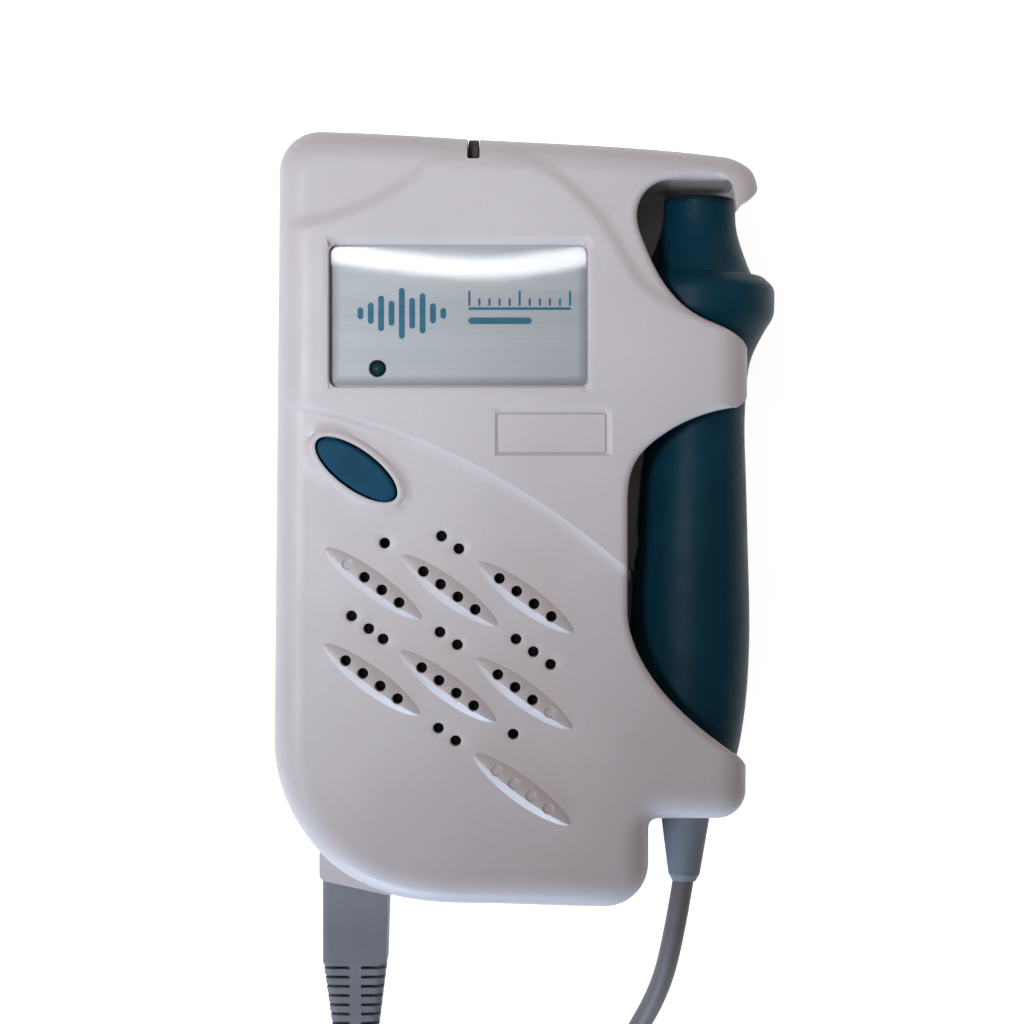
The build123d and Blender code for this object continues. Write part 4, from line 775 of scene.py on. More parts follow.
def buildGlass(g):
    # acrylic with rounded corners, warped as a whole by a few hundredths of a millimetre
    # the grid is finer towards its edges
    shares = [np.linspace(-1, 1, g[name]) for name in ("columns", "rows")]
    uu, vv = np.meshgrid(*[np.sign(t) * (1 - (1 - np.abs(t)) ** 1.25) for t in shares])
    x, y = uu * g["wide"] / 2, vv * g["high"] / 2
    # corners: points past the corner circle's centre are pulled on to it
    cx, cy = g["wide"] / 2 - g["round"], g["high"] / 2 - g["round"]
    dx, dy = np.maximum(np.abs(x) - cx, 0), np.maximum(np.abs(y) - cy, 0)
    away = np.maximum(np.hypot(dx, dy), 1e-9)
    shrink = np.where((dx > 0) & (dy > 0), np.maximum(dx, dy) / away, 1)
    x = np.where(dx > 0, np.sign(x) * (cx + dx * shrink), x)
    y = np.where(dy > 0, np.sign(y) * (cy + dy * shrink), y)
    off = x + g["centre"][0] - g["warpX"]
    slope = np.where(off < 0, *g["warp"]) * (np.hypot(off, g["warpWidth"]) - g["warpWidth"])
    warped = g["top"] + slope * (y - g["high"] / 2)
    verts, faces = closedSlab(x + g["centre"][0], y + g["centre"][1], warped, warped - g["thick"])
    glass = newPiece("window_glass", verts, faces, "main")
    glass.data.set_sharp_from_angle(angle=np.radians(50))
    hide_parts("window_lens")
    return glass


motifShape = {
    "base": 33.09, "thick": 0.03,
    # a sound wave in bars: middle, spacing, width and heights
    "middle": (-21.3, 34.6), "step": 1.75, "barWide": 1.0, "bars": (2.0, 3.6, 6.0, 4.2, 8.6, 5.2, 6.8, 3.4, 1.8),
    # a scale beside it: left end, length, tick spacing and tick heights
    "scale": (-9.9, 35.4), "scaleLong": 17.0, "tickStep": 1.7, "ticks": (2.6, 1.3, 1.3, 1.3, 1.3),
    "tickHalf": 0.19, "tickLow": 0.45, "over": 0.2, "lineHalf": 0.22, "underBar": (-2.6, -1.5, 0.62),
}


def prisms(loops, low, high):
    # upright walls between two copies of each loop, with a face at each end
    verts, faces, start = [], [], 0
    for loop in loops:
        n = len(loop)
        verts += [np.column_stack([loop, np.full(n, low)]), np.column_stack([loop, np.full(n, high)])]
        k = np.arange(n)
        onward = (k + 1) % n
        faces += (start + np.stack([k, onward, onward + n, k + n], -1)).tolist()
        faces += [(start + k[::-1]).tolist(), (start + n + k).tolist()]
        start += 2 * n
    return np.vstack(verts) * mm, faces


def buildMotif(m):
    x, y = m["middle"]
    first = x - (len(m["bars"]) - 1) / 2 * m["step"]
    boxes = [boxAbout((first + k * m["step"], y), m["barWide"], h) for k, h in enumerate(m["bars"])]
    x, y = m["scale"]
    low, high, share = m["underBar"]
    boxes += [(x - m["over"], y - m["lineHalf"], x + m["scaleLong"] + m["over"], y + m["lineHalf"]),
              (x - m["over"], y + low, x + share * m["scaleLong"], y + high)]
    for k in range(int(m["scaleLong"] / m["tickStep"]) + 1):
        tick, foot = x + k * m["tickStep"], y + m["tickLow"]
        boxes.append((tick - m["tickHalf"], foot, tick + m["tickHalf"], foot + m["ticks"][k % len(m["ticks"])]))
    # every mark has round ends, their radius half its smaller side
    marks = [roundedBox(x0, y0, x1, y1, min(x1 - x0, y1 - y0) / 2) for x0, y0, x1, y1 in boxes]
    verts, faces = prisms(marks, m["base"], m["base"] + m["thick"])
    motif = newPiece("label_motif", verts, faces, "main", smooth=False)
    return motif


# Power button and thumbwheel
capShape = {
    "top": 35.15, "round": 0.5, "flangeHigh": 32.3, "flangeLow": 31.2, "flangeWide": 1.3, "stem": 1.5,
    "stemLow": 27.9, "sides": 120,
}
wheelShape = {
    "centre": (-9.2, 59.5, 27.1), "radius": 5.2, "wide": 1.8, "bore": 1.5, "hub": 3.4, "round": 0.25, "teeth": 48,
    "deep": 0.22, "sides": 480,
}


def buildButton(c):
    # a profile of (share of the half axes, width added, height) carried round the oval, closed by a fan at each end
    turn = np.linspace(0, np.pi / 2, 7)
    r = c["round"]
    rows = [(0.5, 0.0, c["top"]), (0.8, 0.0, c["top"])]
    rows += [(1.0, r * (np.sin(t) - 1), c["top"] - r * (1 - np.cos(t))) for t in turn]
    rows += [(1.0, 0.0, c["flangeHigh"]), (1.0, c["flangeWide"], c["flangeHigh"]),
             (1.0, c["flangeWide"], c["flangeLow"])]
    share, wide, high = np.array(rows).T
    t = np.linspace(0, 2 * np.pi, c["sides"], endpoint=False)[:, None]
    a, b = buttonShape["a"] * share + wide, buttonShape["b"] * share + wide
    stem = c["stem"] * np.stack([np.cos(t), np.sin(t)], -1)
    flat = np.concatenate([np.stack([a * np.cos(t), b * np.sin(t)], -1), stem, stem], 1)
    flat = flat @ ovalAxes(buttonShape) + buttonShape["centre"]
    z = np.tile(np.append(high, [c["flangeLow"], c["stemLow"]]), (c["sides"], 1))
    verts = np.concatenate([flat, z[..., None]], -1)
    quads = gridQuads(*verts.shape[:2], wrapRows=True)
    order = np.arange(z.size).reshape(z.shape)
    ends = [order[:, 0].tolist(), order[::-1, -1].tolist()]
    cap = newPiece("button_cap", verts.reshape(-1, 3) * mm, quads.tolist() + ends, "button")
    cap.data.set_sharp_from_angle(angle=np.radians(35))
    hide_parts("power_button")
    return cap


def buildWheel(c):
    # a closed profile across the rim carried round the axis; the rim's radius dips between rounded teeth
    x, r = c["wide"] / 2, c["round"]
    turn = np.linspace(0, np.pi / 2, 5)
    right = np.stack([x - r * (1 - np.cos(turn)), c["radius"] - r * (1 - np.sin(turn))], -1)
    rim = np.vstack([
        (x, c["bore"]), (x, c["hub"]), right, right[::-1] * (-1, 1), (-x, c["hub"]), (-x, c["bore"]),
    ])
    angle = np.linspace(0, 2 * np.pi, c["sides"], endpoint=False)
    dip = c["deep"] * (0.5 - 0.5 * np.cos(c["teeth"] * angle)) ** 2
    radius = rim[None, :, 1] - dip[:, None] * smoothStep((rim[:, 1] - c["radius"] + 1.0) / 0.7)
    verts = np.stack([np.broadcast_to(rim[:, 0], radius.shape), radius * np.cos(angle[:, None]),
                      radius * np.sin(angle[:, None])], -1) + c["centre"]
    quads = gridQuads(*radius.shape, True, True)[:, [0, 3, 2, 1]]
    wheel = newPiece("thumb_wheel", verts.reshape(-1, 3) * mm, quads, "wheel")
    wheel.data.set_sharp_from_angle(angle=np.radians(38))
    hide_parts("volume_wheel")
    return wheel


glass = buildGlass(glassShape)
buttonCap = buildButton(capShape)
thumbWheel = buildWheel(wheelShape)
motif = buildMotif(motifShape)
print("window", len(glass.data.polygons), "faces, motif", len(motif.data.polygons))


stageSettings = {
    "sky": "#ffffff", "skyStrength": 0.18, "floorGlow": 0.86,
    "lights": {
        # key from above the upper left, level over the face's upper left and fading over its lower right
        "key_light": {"kind": "SPOT", "place": (-0.25, 0.0, 0.76), "aim": (-0.3181, 0.4336, 0.03), "size": (0.06,),
                      "cone": 86.8, "blend": 0.277, "colour": "#ebf8ff", "power": 15.2},
        # cool lamp low at the foot, which the slopes that face it catch
        "foot_light": {"kind": "AREA", "place": (-0.15, -0.42, 0.07), "aim": (0, -0.02, 0.03), "size": (0.20, 0.08),
                       "colour": "#c8e5ff", "power": 1.18},
        "corner_light": {"kind": "AREA", "place": (-0.20, -0.25, 0.25), "aim": (0, 0, 0.03), "size": (0.16, 0.16),
                         "colour": "#ecf6ff", "power": 0.193},
        # faint warm lamps on both sides
        "left_light": {"kind": "AREA", "place": (-0.25, 0.05, 0.25), "aim": (0, 0, 0.03), "size": (0.16, 0.16),
                       "colour": "#ffce94", "power": 0.116},
        "head_light": {"kind": "AREA", "place": (0.30, 0.35, 0.25), "aim": (0, 0, 0.03), "size": (0.16, 0.16),
                       "colour": "#ffa54e", "power": 0.16},
        # the long lamp that the window mirrors
        "strip_light": {"kind": "AREA", "place": (-0.034, 0.1437, 1.03), "aim": (-0.034, 0.1437, 0.0),
                        "size": (0.19, 0.0116), "colour": "#ffffff", "power": 0.118},
    },
}


materials = {}


def newMaterial(name):
    # a node material, kept by its name, with its output and the surface shader that feeds it
    materials[name] = bpy.data.materials.new(name)
    materials[name].use_nodes = True
    tree = materials[name].node_tree
    tree.nodes.clear()
    surface = addNode(tree, "BsdfPrincipled")
    addNode(tree, "OutputMaterial", {"Surface": surface})
    return tree, surface


def objectPlace(tree, scale=(1000.0, 1000.0, 1000.0)):
    # the piece's own coordinates in millimetres, or squeezed along one axis for a brushed or drawn finish
    where = addNode(tree, "TexCoord").outputs["Object"]
    return addNode(tree, "VectorMath", {0: where, 1: scale}, operation="MULTIPLY")


def mouldedPlastic(name, s):
    # two close tones in broad clouds, a fine spark-eroded grain with specks in it, edges a little worn and polished
    dark, pale, speckColour, wornColour = s["colours"]
    (grainSize, grainHigh), (wear, wearSize), (smooth, dull) = s["grain"], s["wear"], s["rough"]
    tree, surface = newMaterial(name)
    place = objectPlace(tree)
    clouds = addNode(tree, "TexNoise", {"Vector": place, "Scale": 1 / s["cloud"], "Detail": 4.0})
    tone = addNode(tree, "MapRange", {"Value": clouds, "From Min": 0.32, "From Max": 0.68})
    colour = addNode(tree, "Mix", {"Factor": tone, "A": dark, "B": pale}, data_type="RGBA")
    grain = addNode(tree, "TexNoise", {"Vector": place, "Scale": 1 / grainSize, "Detail": 2.0, "Roughness": 0.6})
    dust = addNode(tree, "TexNoise", {"Vector": place, "Scale": 0.5 / grainSize, "Detail": 1.0})
    specks = addNode(tree, "MapRange", {"Value": dust, "From Min": 0.62, "From Max": 0.8, "To Max": s["speck"]})
    colour = addNode(tree, "Mix", {"Factor": specks, "A": colour, "B": speckColour}, data_type="RGBA")
    rounded = addNode(tree, "Bevel", {"Radius": wearSize * mm}, samples=4)
    own = addNode(tree, "NewGeometry").outputs["Normal"]
    facing = addNode(tree, "VectorMath", {0: rounded, 1: own}, operation="DOT_PRODUCT")
    worn = addNode(tree, "MapRange", {
        "Value": facing, "From Min": 0.75, "From Max": 0.985, "To Min": wear, "To Max": 0.0,
    })
    colour = addNode(tree, "Mix", {"Factor": worn, "A": colour, "B": wornColour}, data_type="RGBA")
    smear = addNode(tree, "TexNoise", {"Vector": place, "Scale": 3 / s["cloud"], "Detail": 5.0, "Roughness": 0.62})
    shine = addNode(tree, "MapRange", {
        "Value": smear, "From Min": 0.3, "From Max": 0.7, "To Min": smooth, "To Max": dull,
    })
    bump = addNode(tree, "Bump", {"Height": grain, "Distance": grainHigh * mm})
    feed(surface, {
        "Base Color": colour, "Roughness": shine, "Normal": bump, "Specular IOR Level": s["gloss"],
        "Subsurface Weight": s["glow"], "Subsurface Scale": 0.8 * mm,
    })


# colours are the clouds' dark and pale, the specks' and the worn edges'; cloud is a size, grain a size and a
# height, and wear a strength and a width, all sizes in millimetres
plasticSettings = {
    # pearl-white ABS, injection moulded in a finely eroded tool: satin, with soft highlights
    "case_abs": {"colours": ("#c9c1c6", "#d0c8cd", "#a9a6ad", "#dddbe0"), "cloud": 22.0, "grain": (0.3, 0.02),
                 "speck": 0.14, "wear": (0.08, 0.5), "rough": (0.36, 0.46), "gloss": 0.4, "glow": 0.05},
    # dark teal ABS, moulded and lightly eroded: semi-matt, a little paler where hands have polished it
    "probe_abs": {"colours": ("#073242", "#0a3b4d", "#184c62", "#1f5268"), "cloud": 12.0, "grain": (0.28, 0.03),
                  "speck": 0.15, "wear": (0.2, 0.5), "rough": (0.42, 0.52), "gloss": 0.13, "glow": 0.0},
    # blue ABS, moulded: satin, its rim polished by thumbs
    "button_abs": {"colours": ("#09405c", "#0c4967", "#216a8c", "#3a7898"), "cloud": 6.0, "grain": (0.22, 0.02),
                   "speck": 0.12, "wear": (0.3, 0.35), "rough": (0.4, 0.5), "gloss": 0.09, "glow": 0.0},
    # dark grey acetal, moulded with teeth: waxy and slightly dusty
    "wheel_acetal": {"colours": ("#423c3f", "#4c4649", "#625c60", "#767074"), "cloud": 4.0, "grain": (0.18, 0.02),
                     "speck": 0.2, "wear": (0.4, 0.15), "rough": (0.42, 0.55), "gloss": 0.2, "glow": 0.0},
    # grey PVC, moulded over the plug and its boot: dull, faintly rubbery
    "plug_pvc": {"colours": ("#7d7d86", "#86868f", "#9a9ca6", "#9d9fa9"), "cloud": 7.0, "grain": (0.26, 0.03),
                 "speck": 0.14, "wear": (0.22, 0.3), "rough": (0.46, 0.6), "gloss": 0.35, "glow": 0.03},
    # bluish-grey thermoplastic rubber, moulded on the probe's end: dull and soft-edged
    "moulded_rubber": {"colours": ("#7d818c", "#878b95", "#999da7", "#9b9fa8"), "cloud": 6.0, "grain": (0.24, 0.03),
                       "speck": 0.15, "wear": (0.2, 0.3), "rough": (0.5, 0.64), "gloss": 0.3, "glow": 0.03},
    # black glass-filled nylon of the sockets, the tact switch and its plunger: dry and slightly grey
    "socket_nylon": {"colours": ("#1d1e21", "#27282c", "#3a3b40", "#4a4b50"), "cloud": 4.0, "grain": (0.2, 0.02),
                     "speck": 0.2, "wear": (0.35, 0.15), "rough": (0.42, 0.56), "gloss": 0.4, "glow": 0.0},
    # black epoxy moulded over the chips: matt with a fine sandy face
    "chip_epoxy": {"colours": ("#17181a", "#202124", "#37383c", "#3a3b3f"), "cloud": 2.0, "grain": (0.12, 0.015),
                   "speck": 0.3, "wear": (0.2, 0.1), "rough": (0.56, 0.7), "gloss": 0.4, "glow": 0.0},
    # brown loaded epoxy cast behind the crystals: dense and dull
    "backing_epoxy": {"colours": ("#6b5540", "#7b644c", "#a08a6c", "#8f7759"), "cloud": 1.8, "grain": (0.25, 0.02),
                      "speck": 0.3, "wear": (0.1, 0.1), "rough": (0.5, 0.65), "gloss": 0.4, "glow": 0.0},
    # pale silicone ring between collar and neck: translucent and soft
    "seal_silicone": {"colours": ("#a9adb2", "#b9bdc2", "#d2d5d9", "#cfd3d7"), "cloud": 2.5, "grain": (0.2, 0.015),
                      "speck": 0.1, "wear": (0.1, 0.1), "rough": (0.5, 0.6), "gloss": 0.4, "glow": 0.15},
    # loaded epoxy of the probe's face, cast and lapped: smooth, evenly dull; its dark grey-blue is painted shade, for
    # the shadow under the visor
    "face_epoxy_painted_shade": {"colours": ("#0a2633", "#0e2e3c", "#2a5261", "#214656"), "cloud": 3.5, "grain": (0.22, 0.01),
                   "speck": 0.25, "wear": (0.2, 0.3), "rough": (0.4, 0.52), "gloss": 0.12, "glow": 0.0},
    # black polyurethane foam of the speaker's gasket, cut from sheet: open pores, no shine; its black is partly its own
    # colour and partly painted shade, for the dark seen through the grille's holes
    "gasket_foam": {"colours": ("#0c0c0e", "#121215", "#1a1a1d", "#232327"), "cloud": 2.0, "grain": (0.4, 0.2),
                    "speck": 0.5, "wear": (0.0, 0.1), "rough": (0.86, 0.96), "gloss": 0.2, "glow": 0.0},
    # smoky clear polycarbonate of the plug's insert and latch: glassy, milky in its depth
    "insert_polycarbonate": {"colours": ("#aeb6bb", "#c2c9cd", "#dfe4e7", "#e8ecee"), "cloud": 3.5,
                             "grain": (0.2, 0.004), "speck": 0.05, "wear": (0.2, 0.2), "rough": (0.12, 0.2),
                             "gloss": 0.5, "glow": 0.3},
}


def metal(name, s):
    # fine scratches along one way, and a duller, warmer bloom in patches
    clean, dull = s["colours"]
    tree, surface = newMaterial(name)
    along = objectPlace(tree, s["stretch"])
    scratches = addNode(tree, "TexNoise", {"Vector": along, "Scale": 1.0, "Detail": 3.0, "Roughness": 0.7})
    patches = addNode(tree, "TexNoise", {"Vector": objectPlace(tree), "Scale": 1 / s["bloom"], "Detail": 4.0})
    bloom = addNode(tree, "MapRange", {"Value": patches, "From Min": 0.45, "From Max": 0.75, "To Max": 0.8})
    colour = addNode(tree, "Mix", {"Factor": bloom, "A": clean, "B": dull}, data_type="RGBA")
    fine = addNode(tree, "Math", {0: scratches, 1: 0.12}, operation="MULTIPLY")
    broad = addNode(tree, "Math", {0: bloom, 1: 0.2, 2: s["rough"]}, operation="MULTIPLY_ADD")
    rough = addNode(tree, "Math", {0: fine, 1: broad}, operation="ADD")
    bump = addNode(tree, "Bump", {"Height": scratches, "Distance": s["high"] * mm})
    feed(surface, {"Base Color": colour, "Roughness": rough, "Normal": bump, "Metallic": 1.0})


# colours are clean and dull; stretch squeezes the scratches, bloom is the patches' size, high the scratches' depth
metalSettings = {
    # nickel-plated spring steel, drawn and formed: bright with a yellowish bloom
    "spring_nickel": {"colours": ("#c9c5bd", "#9a948a"), "stretch": (400, 400, 6000), "bloom": 2.0, "rough": 0.22,
                      "high": 0.01},
    # tin plate of the shield can, rolled: soft grey with a grain along the sheet
    "shield_tin": {"colours": ("#c4c6c8", "#8f9296"), "stretch": (8000, 500, 500), "bloom": 5.0, "rough": 0.3,
                   "high": 0.008},
    # zinc-plated steel screws, cold headed: grey with a blue cast
    "screw_zinc": {"colours": ("#a8aaac", "#74767a"), "stretch": (2000, 2000, 2000), "bloom": 0.8, "rough": 0.28,
                   "high": 0.01},
    # gold flash over nickel on the jack's contacts, stamped: warm and bright
    "gold_flash": {"colours": ("#d9b45a", "#a8853c"), "stretch": (600, 8000, 600), "bloom": 0.7, "rough": 0.18,
                   "high": 0.005},
    # black-passivated zinc on the steel of the speaker's frame and magnet cup, pressed: dark and dull; the dark is
    # partly this finish and partly painted shade, for the dark seen through the grille's holes
    "speaker_zinc": {"colours": ("#2e2f33", "#1d1e21"), "stretch": (1500, 1500, 1500), "bloom": 4.0, "rough": 0.35,
                     "high": 0.01},
    # ground steel of the thumbwheel's shaft: fine rings round it
    "ground_steel": {"colours": ("#b9bcc0", "#8d9094"), "stretch": (300, 9000, 9000), "bloom": 1.0, "rough": 0.16,
                     "high": 0.004},
}


def jacketPvc():
    # extruded grey PVC: dull, with long faint drag lines and patches of handling shine along the cord
    tree, surface = newMaterial("jacket_pvc")
    along = addNode(tree, "Attribute", attribute_name="along").outputs["Fac"]
    patches = addNode(tree, "TexNoise", {"W": along, "Scale": 60.0, "Detail": 4.0}, noise_dimensions="1D")
    place = objectPlace(tree)
    fine = addNode(tree, "TexNoise", {"Vector": place, "Scale": 2.6, "Detail": 3.0, "Roughness": 0.6})
    tone = addNode(tree, "MapRange", {"Value": patches, "From Min": 0.35, "From Max": 0.65})
    colour = addNode(tree, "Mix", {"Factor": tone, "A": "#6b6467", "B": "#777073"}, data_type="RGBA")
    lint = addNode(tree, "MapRange", {"Value": fine, "From Min": 0.6, "From Max": 0.8, "To Max": 0.3})
    colour = addNode(tree, "Mix", {"Factor": lint, "A": colour, "B": "#8d878b"}, data_type="RGBA")
    shine = addNode(tree, "MapRange", {
        "Value": patches, "From Min": 0.3, "From Max": 0.7, "To Min": 0.42, "To Max": 0.56,
    })
    bump = addNode(tree, "Bump", {"Height": fine, "Distance": 0.03 * mm})
    feed(surface, {"Base Color": colour, "Roughness": shine, "Normal": bump})


def circuitBoard():
    # glass-epoxy laminate under green solder mask: raised tracks 0.6 mm wide and round tinned pads
    tree, surface = newMaterial("board_laminate")
    place = objectPlace(tree)
    tracks = addNode(tree, "TexBrick", {
        "Vector": place, "Scale": 0.32, "Mortar Size": 0.05, "Mortar Smooth": 0.1, "Brick Width": 1.4,
        "Row Height": 0.4,
    }).outputs["Fac"]
    dots = addNode(tree, "TexVoronoi", {"Vector": place, "Scale": 0.45})
    pads = addNode(tree, "MapRange", {"Value": dots, "From Min": 0.16, "From Max": 0.2, "To Min": 1.0, "To Max": 0.0})
    colour = addNode(tree, "Mix", {"Factor": tracks, "A": "#1c5a34", "B": "#2c7446"}, data_type="RGBA")
    colour = addNode(tree, "Mix", {"Factor": pads, "A": colour, "B": "#c6bda0"}, data_type="RGBA")
    cloud = addNode(tree, "TexNoise", {"Vector": place, "Scale": 1.2})
    shine = addNode(tree, "MapRange", {"Value": cloud, "To Min": 0.26, "To Max": 0.44})
    height = addNode(tree, "Math", {0: tracks, 1: pads}, operation="ADD")
    bump = addNode(tree, "Bump", {"Height": height, "Distance": 0.05 * mm})
    feed(surface, {"Base Color": colour, "Roughness": shine, "Metallic": pads, "Normal": bump})


def printedSleeve():
    # printed shrink sleeve over a steel can: a copper band at one end, dark body, bare steel at both ends
    tree, surface = newMaterial("printed_sleeve")
    y = addNode(tree, "SeparateXYZ", {0: objectPlace(tree)}).outputs["Y"]
    band = addNode(tree, "MapRange", {"Value": y, "From Min": -3.2, "From Max": -3.0})
    off = addNode(tree, "Math", {0: y, 1: 14.75}, operation="ADD")
    off = addNode(tree, "Math", {0: off}, operation="ABSOLUTE")
    ends = addNode(tree, "MapRange", {"Value": off, "From Min": 24.1, "From Max": 24.3})
    colour = addNode(tree, "Mix", {"Factor": band, "A": "#2b2d31", "B": "#a8713f"}, data_type="RGBA")
    colour = addNode(tree, "Mix", {"Factor": ends, "A": colour, "B": "#b9bcbf"}, data_type="RGBA")
    along = objectPlace(tree, (900, 60, 900))
    streaks = addNode(tree, "TexNoise", {"Vector": along, "Scale": 1.0, "Detail": 2.0})
    shine = addNode(tree, "MapRange", {"Value": streaks, "To Min": 0.18, "To Max": 0.36})
    bump = addNode(tree, "Bump", {"Height": streaks, "Distance": 0.01 * mm})
    feed(surface, {"Base Color": colour, "Roughness": shine, "Metallic": ends, "Normal": bump, "Coat Weight": 0.35})


def conePaper():
    # pressed and dyed paper pulp: short fibres across each other, no shine
    tree, surface = newMaterial("cone_paper")
    fibres = [addNode(tree, "TexNoise", {
        "Vector": objectPlace(tree, stretch), "Scale": 1.0, "Detail": 4.0, "Roughness": 0.7,
    }) for stretch in ((700, 5200, 2500), (5200, 700, 2500))]
    felt = addNode(tree, "Math", {0: fibres[0], 1: fibres[1]}, operation="MAXIMUM")
    tone = addNode(tree, "MapRange", {"Value": felt, "From Min": 0.4, "From Max": 0.75})
    colour = addNode(tree, "Mix", {"Factor": tone, "A": "#1e1d1c", "B": "#35332f"}, data_type="RGBA")
    bump = addNode(tree, "Bump", {"Height": felt, "Distance": 0.1 * mm})
    feed(surface, {"Base Color": colour, "Roughness": 0.9, "Normal": bump})


def grilleCloth():
    # open woven polyester, dyed black: threads 0.7 mm apart in both ways
    tree, surface = newMaterial("grille_cloth")
    place = objectPlace(tree)
    threads = [addNode(tree, "TexWave", {
        "Vector": place, "Scale": 0.45, "Distortion": 0.4, "Detail": 1.0,
    }, bands_direction=way).outputs["Fac"] for way in ("X", "Y")]
    weave = addNode(tree, "Math", {0: threads[0], 1: threads[1]}, operation="MAXIMUM")
    colour = addNode(tree, "Mix", {"Factor": weave, "A": "#0a0a0c", "B": "#1d1c20"}, data_type="RGBA")
    bump = addNode(tree, "Bump", {"Height": weave, "Distance": 0.12 * mm})
    feed(surface, {"Base Color": colour, "Roughness": 0.95, "Normal": bump, "Specular IOR Level": 0.1})


def piezoCeramic():
    # fired ceramic with a silvered face: pale, patchily lustrous
    tree, surface = newMaterial("piezo_ceramic")
    patches = addNode(tree, "TexNoise", {"Vector": objectPlace(tree), "Scale": 1.5, "Detail": 4.0})
    tone = addNode(tree, "MapRange", {"Value": patches, "From Min": 0.4, "From Max": 0.6})
    colour = addNode(tree, "Mix", {"Factor": tone, "A": "#b8ad95", "B": "#cfc6b2"}, data_type="RGBA")
    shine = addNode(tree, "MapRange", {"Value": patches, "To Min": 0.3, "To Max": 0.6})
    bump = addNode(tree, "Bump", {"Height": patches, "Distance": 0.01 * mm})
    feed(surface, {"Base Color": colour, "Roughness": shine, "Normal": bump})


def indicatorEpoxy():
    # green diffusing epoxy of an unlit indicator, cast: dark at its rim, the die's cup a little paler inside
    tree, surface = newMaterial("indicator_epoxy")
    place = objectPlace(tree)
    centred = addNode(tree, "Mapping", {"Vector": place, "Location": (25.4, -25.3, 0.0), "Scale": (1.0, 1.0, 0.0)})
    out = addNode(tree, "VectorMath", {0: centred}, operation="LENGTH")
    cup = addNode(tree, "MapRange", {"Value": out, "From Min": 0.3, "From Max": 1.2, "To Min": 1.0, "To Max": 0.0})
    colour = addNode(tree, "Mix", {"Factor": cup, "A": "#04292a", "B": "#0b4a40"}, data_type="RGBA")
    haze = addNode(tree, "TexNoise", {"Vector": place, "Scale": 2.0})
    shine = addNode(tree, "MapRange", {"Value": haze, "To Min": 0.2, "To Max": 0.34})
    bump = addNode(tree, "Bump", {"Height": haze, "Distance": 0.01 * mm})
    feed(surface, {"Base Color": colour, "Roughness": shine, "Normal": bump, "Specular IOR Level": 0.12})


def castAcrylic():
    # clear cast acrylic, polished: a mirror skin by Fresnel over a nearly clear body, with hairline wiping marks
    tree, surface = newMaterial("cast_acrylic")
    output = surface.outputs[0].links[0].to_node
    tree.nodes.remove(surface)
    along = objectPlace(tree, (60, 2500, 60))
    wiping = addNode(tree, "TexNoise", {"Vector": along, "Scale": 1.0, "Detail": 3.0, "Roughness": 0.6})
    shine = addNode(tree, "MapRange", {
        "Value": wiping, "From Min": 0.3, "From Max": 0.7, "To Min": 0.02, "To Max": 0.045,
    })
    clear = addNode(tree, "BsdfTransparent", {"Color": "#f6f8fa"})
    skin = addNode(tree, "BsdfGlossy", {"Color": "#ffffff", "Roughness": shine})
    # only the outer side of a face mirrors, so light that leaves through the far face isn't held back
    fresnel = addNode(tree, "Fresnel", {"IOR": 1.49})
    inner = addNode(tree, "NewGeometry").outputs["Backfacing"]
    outer = addNode(tree, "Math", {0: 1.0, 1: inner}, operation="SUBTRACT")
    share = addNode(tree, "Math", {0: fresnel, 1: outer}, operation="MULTIPLY")
    feed(output, {"Surface": addNode(tree, "MixShader", {0: share, 1: clear, 2: skin})})


def silverLabel():
    # silver polyester label, brushed across: cool grey, darker towards its right and lower edges
    tree, surface = newMaterial("silver_label")
    parts = addNode(tree, "SeparateXYZ", {0: objectPlace(tree)})
    x, y = parts.outputs["X"], parts.outputs["Y"]
    right = addNode(tree, "MapRange", {"Value": x, "From Min": -15.0, "From Max": 9.6, "To Max": 0.35})
    low = addNode(tree, "MapRange", {"Value": y, "From Min": 40.0, "From Max": 22.4, "To Max": 0.5})
    shade = addNode(tree, "Math", {0: right, 1: low}, operation="ADD")
    colour = addNode(tree, "Mix", {"Factor": shade, "A": "#bcb8b7", "B": "#afaaa9"}, data_type="RGBA")
    # broad pale bands, partly the brushing and partly painted reflections in the glass above, and fine lines of the
    # brushing
    broad = addNode(tree, "TexNoise", {"Vector": objectPlace(tree, (15, 400, 15)), "Scale": 1.0, "Detail": 2.0})
    bandsAndReflections = addNode(tree, "MapRange", {"Value": broad, "From Min": 0.35, "From Max": 0.65, "To Max": 0.35})
    colour = addNode(tree, "Mix", {"Factor": bandsAndReflections, "A": colour, "B": "#d6d0cf"}, data_type="RGBA")
    along = objectPlace(tree, (30, 2200, 30))
    brushed = addNode(tree, "TexNoise", {"Vector": along, "Scale": 1.0, "Detail": 4.0, "Roughness": 0.6})
    lines = addNode(tree, "MapRange", {"Value": brushed, "From Min": 0.35, "From Max": 0.7, "To Max": 0.3})
    colour = addNode(tree, "Mix", {"Factor": lines, "A": colour, "B": "#d2c9c7"}, data_type="RGBA")
    # painted shade: the label darkens in its last millimetre and a half at the sides and the foot, standing for the
    # recess's shadow on it
    off = addNode(tree, "Math", {0: x, 1: 11.7}, operation="ADD")
    off = addNode(tree, "Math", {0: off}, operation="ABSOLUTE")
    side = addNode(tree, "MapRange", {"Value": off, "From Min": 20.0, "From Max": 21.6})
    foot = addNode(tree, "MapRange", {"Value": y, "From Min": 24.2, "From Max": 22.4})
    recessShade = addNode(tree, "Math", {0: side, 1: foot}, operation="MAXIMUM")
    recessShade = addNode(tree, "Math", {0: recessShade, 1: 0.55}, operation="MULTIPLY")
    colour = addNode(tree, "Mix", {"Factor": recessShade, "A": colour, "B": "#5c5a5a"}, data_type="RGBA")
    shine = addNode(tree, "MapRange", {"Value": brushed, "To Min": 0.38, "To Max": 0.52})
    feed(surface, {"Base Color": colour, "Roughness": shine, "Metallic": 0.25})


